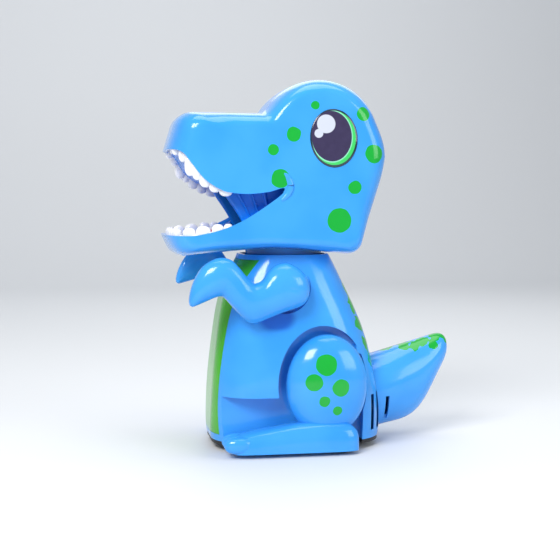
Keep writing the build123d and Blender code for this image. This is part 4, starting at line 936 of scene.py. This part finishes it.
ARM_SPINE = (
    (-9.6, 99.6), (-9.6, 99.6), (-9.9, 99.6), (-11.2, 99.4), (-14.5, 98.4), (-18.5, 96.8), (-23.5, 95.0),
    (-29.5, 93.4), (-34.2, 93.8), (-37.8, 97.2), (-41.4, 101.8), (-45.8, 106.0), (-50.0, 107.4),
    (-54.2, 105.8), (-58.6, 102.4), (-62.2, 98.4), (-64.8, 94.6), (-66.6, 92.2), (-67.4, 91.4),
)
# One value for each key: the arm's middle from the toy's, and its swell outwards and inwards. The
# forearm and the hand stand farther out than the shoulder, so they pass beside the jaw.
ARM_MIDDLE = (
    40.4, 40.4, 40.4, 40.4, 40.6, 40.9, 41.4, 41.9, 42.5, 43.1, 43.6, 43.8, 43.8, 43.8, 43.6, 43.4, 43.2,
    43.0, 43.0,
)
ARM_OUT = (9.6, 9.7, 9.8, 9.9, 10.0, 9.9, 9.7, 9.5, 9.0, 8.5, 7.7, 7.5, 8.0, 8.0, 7.6, 6.8, 5.6, 4.2, 3.0)
ARM_IN = (8.6, 8.6, 8.6, 8.6, 5.4, 5.0, 4.6, 4.4, 4.2, 4.0, 3.7, 3.6, 3.6, 3.6, 3.6, 3.5, 3.4, 3.2, 2.6)
ARM_THICK = np.stack([ARM_MIDDLE, ARM_OUT, ARM_IN], -1)
RIGHT_ARM_LIFT = np.radians(7.6)
for side, hand in ((-1, "left"), (1, "right")):
    arm_grid = puff(ARM_TOP, ARM_FOOT, ARM_SPINE, ARM_THICK, side, power=2.3, columns=150)
    if side > 0:
        dx = arm_grid[..., 0] - SHOULDER[0]
        dz = arm_grid[..., 2] - SHOULDER[1]
        arm_grid[..., 0] = SHOULDER[0] + dx * np.cos(RIGHT_ARM_LIFT) + dz * np.sin(RIGHT_ARM_LIFT)
        arm_grid[..., 2] = SHOULDER[1] - dx * np.sin(RIGHT_ARM_LIFT) + dz * np.cos(RIGHT_ARM_LIFT)
    piece(f"arm_skin_{hand}", [arm_grid], f"arm_{hand}", plain_blue, (f"arm_{hand}",))

# %% [markdown]
# ## Legs
# A plump thigh stands over a long foot with three toes. The thigh is a puffed oval, the foot is a
# rounded section carried from heel to toes, and each toe is an egg. A well is cut in the sole for
# the roller.

# %% Legs
THIGH_AT = np.array([15.0, 40.5])
THIGH_HALF = np.array([24.8, 31.0])
FOOT_Y = 41.2
FOOT_SOLE = 2.6
half_turn = np.linspace(0, np.pi, 40)
thigh_top = THIGH_AT + THIGH_HALF * np.stack([np.cos(half_turn), np.sin(half_turn)], -1)
thigh_foot = thigh_top * (1, -1) + (0, 2 * THIGH_AT[1])
thigh_spine = np.tile(THIGH_AT, (40, 1))
thigh_thick = np.tile((38.0, 12.8, 9.0), (40, 1))
FOOT_STATIONS = spline((          # x, half width, height
    (33.6, 0.0, 4.0), (33.2, 5.0, 9.0), (31.0, 8.4, 13.0), (25.0, 10.3, 16.4), (12.0, 10.7, 17.4),
    (-4.0, 10.7, 16.4), (-18.0, 10.7, 14.4), (-30.0, 10.5, 12.4), (-38.0, 9.8, 10.4), (-42.0, 7.6, 8.0),
    (-43.6, 0.0, 4.0),
), 60)
around = np.linspace(0, 2 * np.pi, 56, endpoint=False)
foot_x = np.repeat(FOOT_STATIONS[:, :1], 56, axis=1)
foot_y = np.sign(np.cos(around)) * np.abs(np.cos(around)) ** 0.62 * np.maximum(FOOT_STATIONS[:, 1:2], 0)
foot_z = FOOT_SOLE + np.where(np.sin(around) > 0, np.abs(np.sin(around)) ** 0.72, 0) * FOOT_STATIONS[:, 2:3]
foot_z[[0, -1]] = FOOT_SOLE + 3.0
TOE_AT = (-39.5, FOOT_SOLE + 5.0)
TOE_HALVES = (9.0, 3.9, 5.0)
TOE_GAP = 6.8
WELL = ((14.5, -5.0), (32.5, -5.0), (32.5, 9.0), (28.0, 15.5), (19.0, 15.5), (14.5, 9.0))
WELL_Y = (38.2, 45.8)
for side, hand in ((-1, "left"), (1, "right")):
    thigh = puff(thigh_top, thigh_foot, thigh_spine, thigh_thick, side, power=2.15, columns=80, steps=26)
    foot = np.stack([foot_x, side * FOOT_Y + foot_y, foot_z], -1)
    toe_rows = [side * FOOT_Y + toe_y for toe_y in (-TOE_GAP, 0.0, TOE_GAP)]
    toes = [egg((TOE_AT[0], toe_y, TOE_AT[1]), TOE_HALVES, power=2.3) for toe_y in toe_rows]
    grids = [thigh, foot, *toes]
    leg = piece(f"leg_skin_{hand}", grids, "toy_body", thigh_blue, (f"leg_{hand}",))
    well_low, well_high = sorted(side * y for y in WELL_Y)
    carve(leg, prism_mesh("roller_well", WELL, well_low, well_high), crossing=True)
    leg.data.set_sharp_from_angle(angle=np.radians(40))
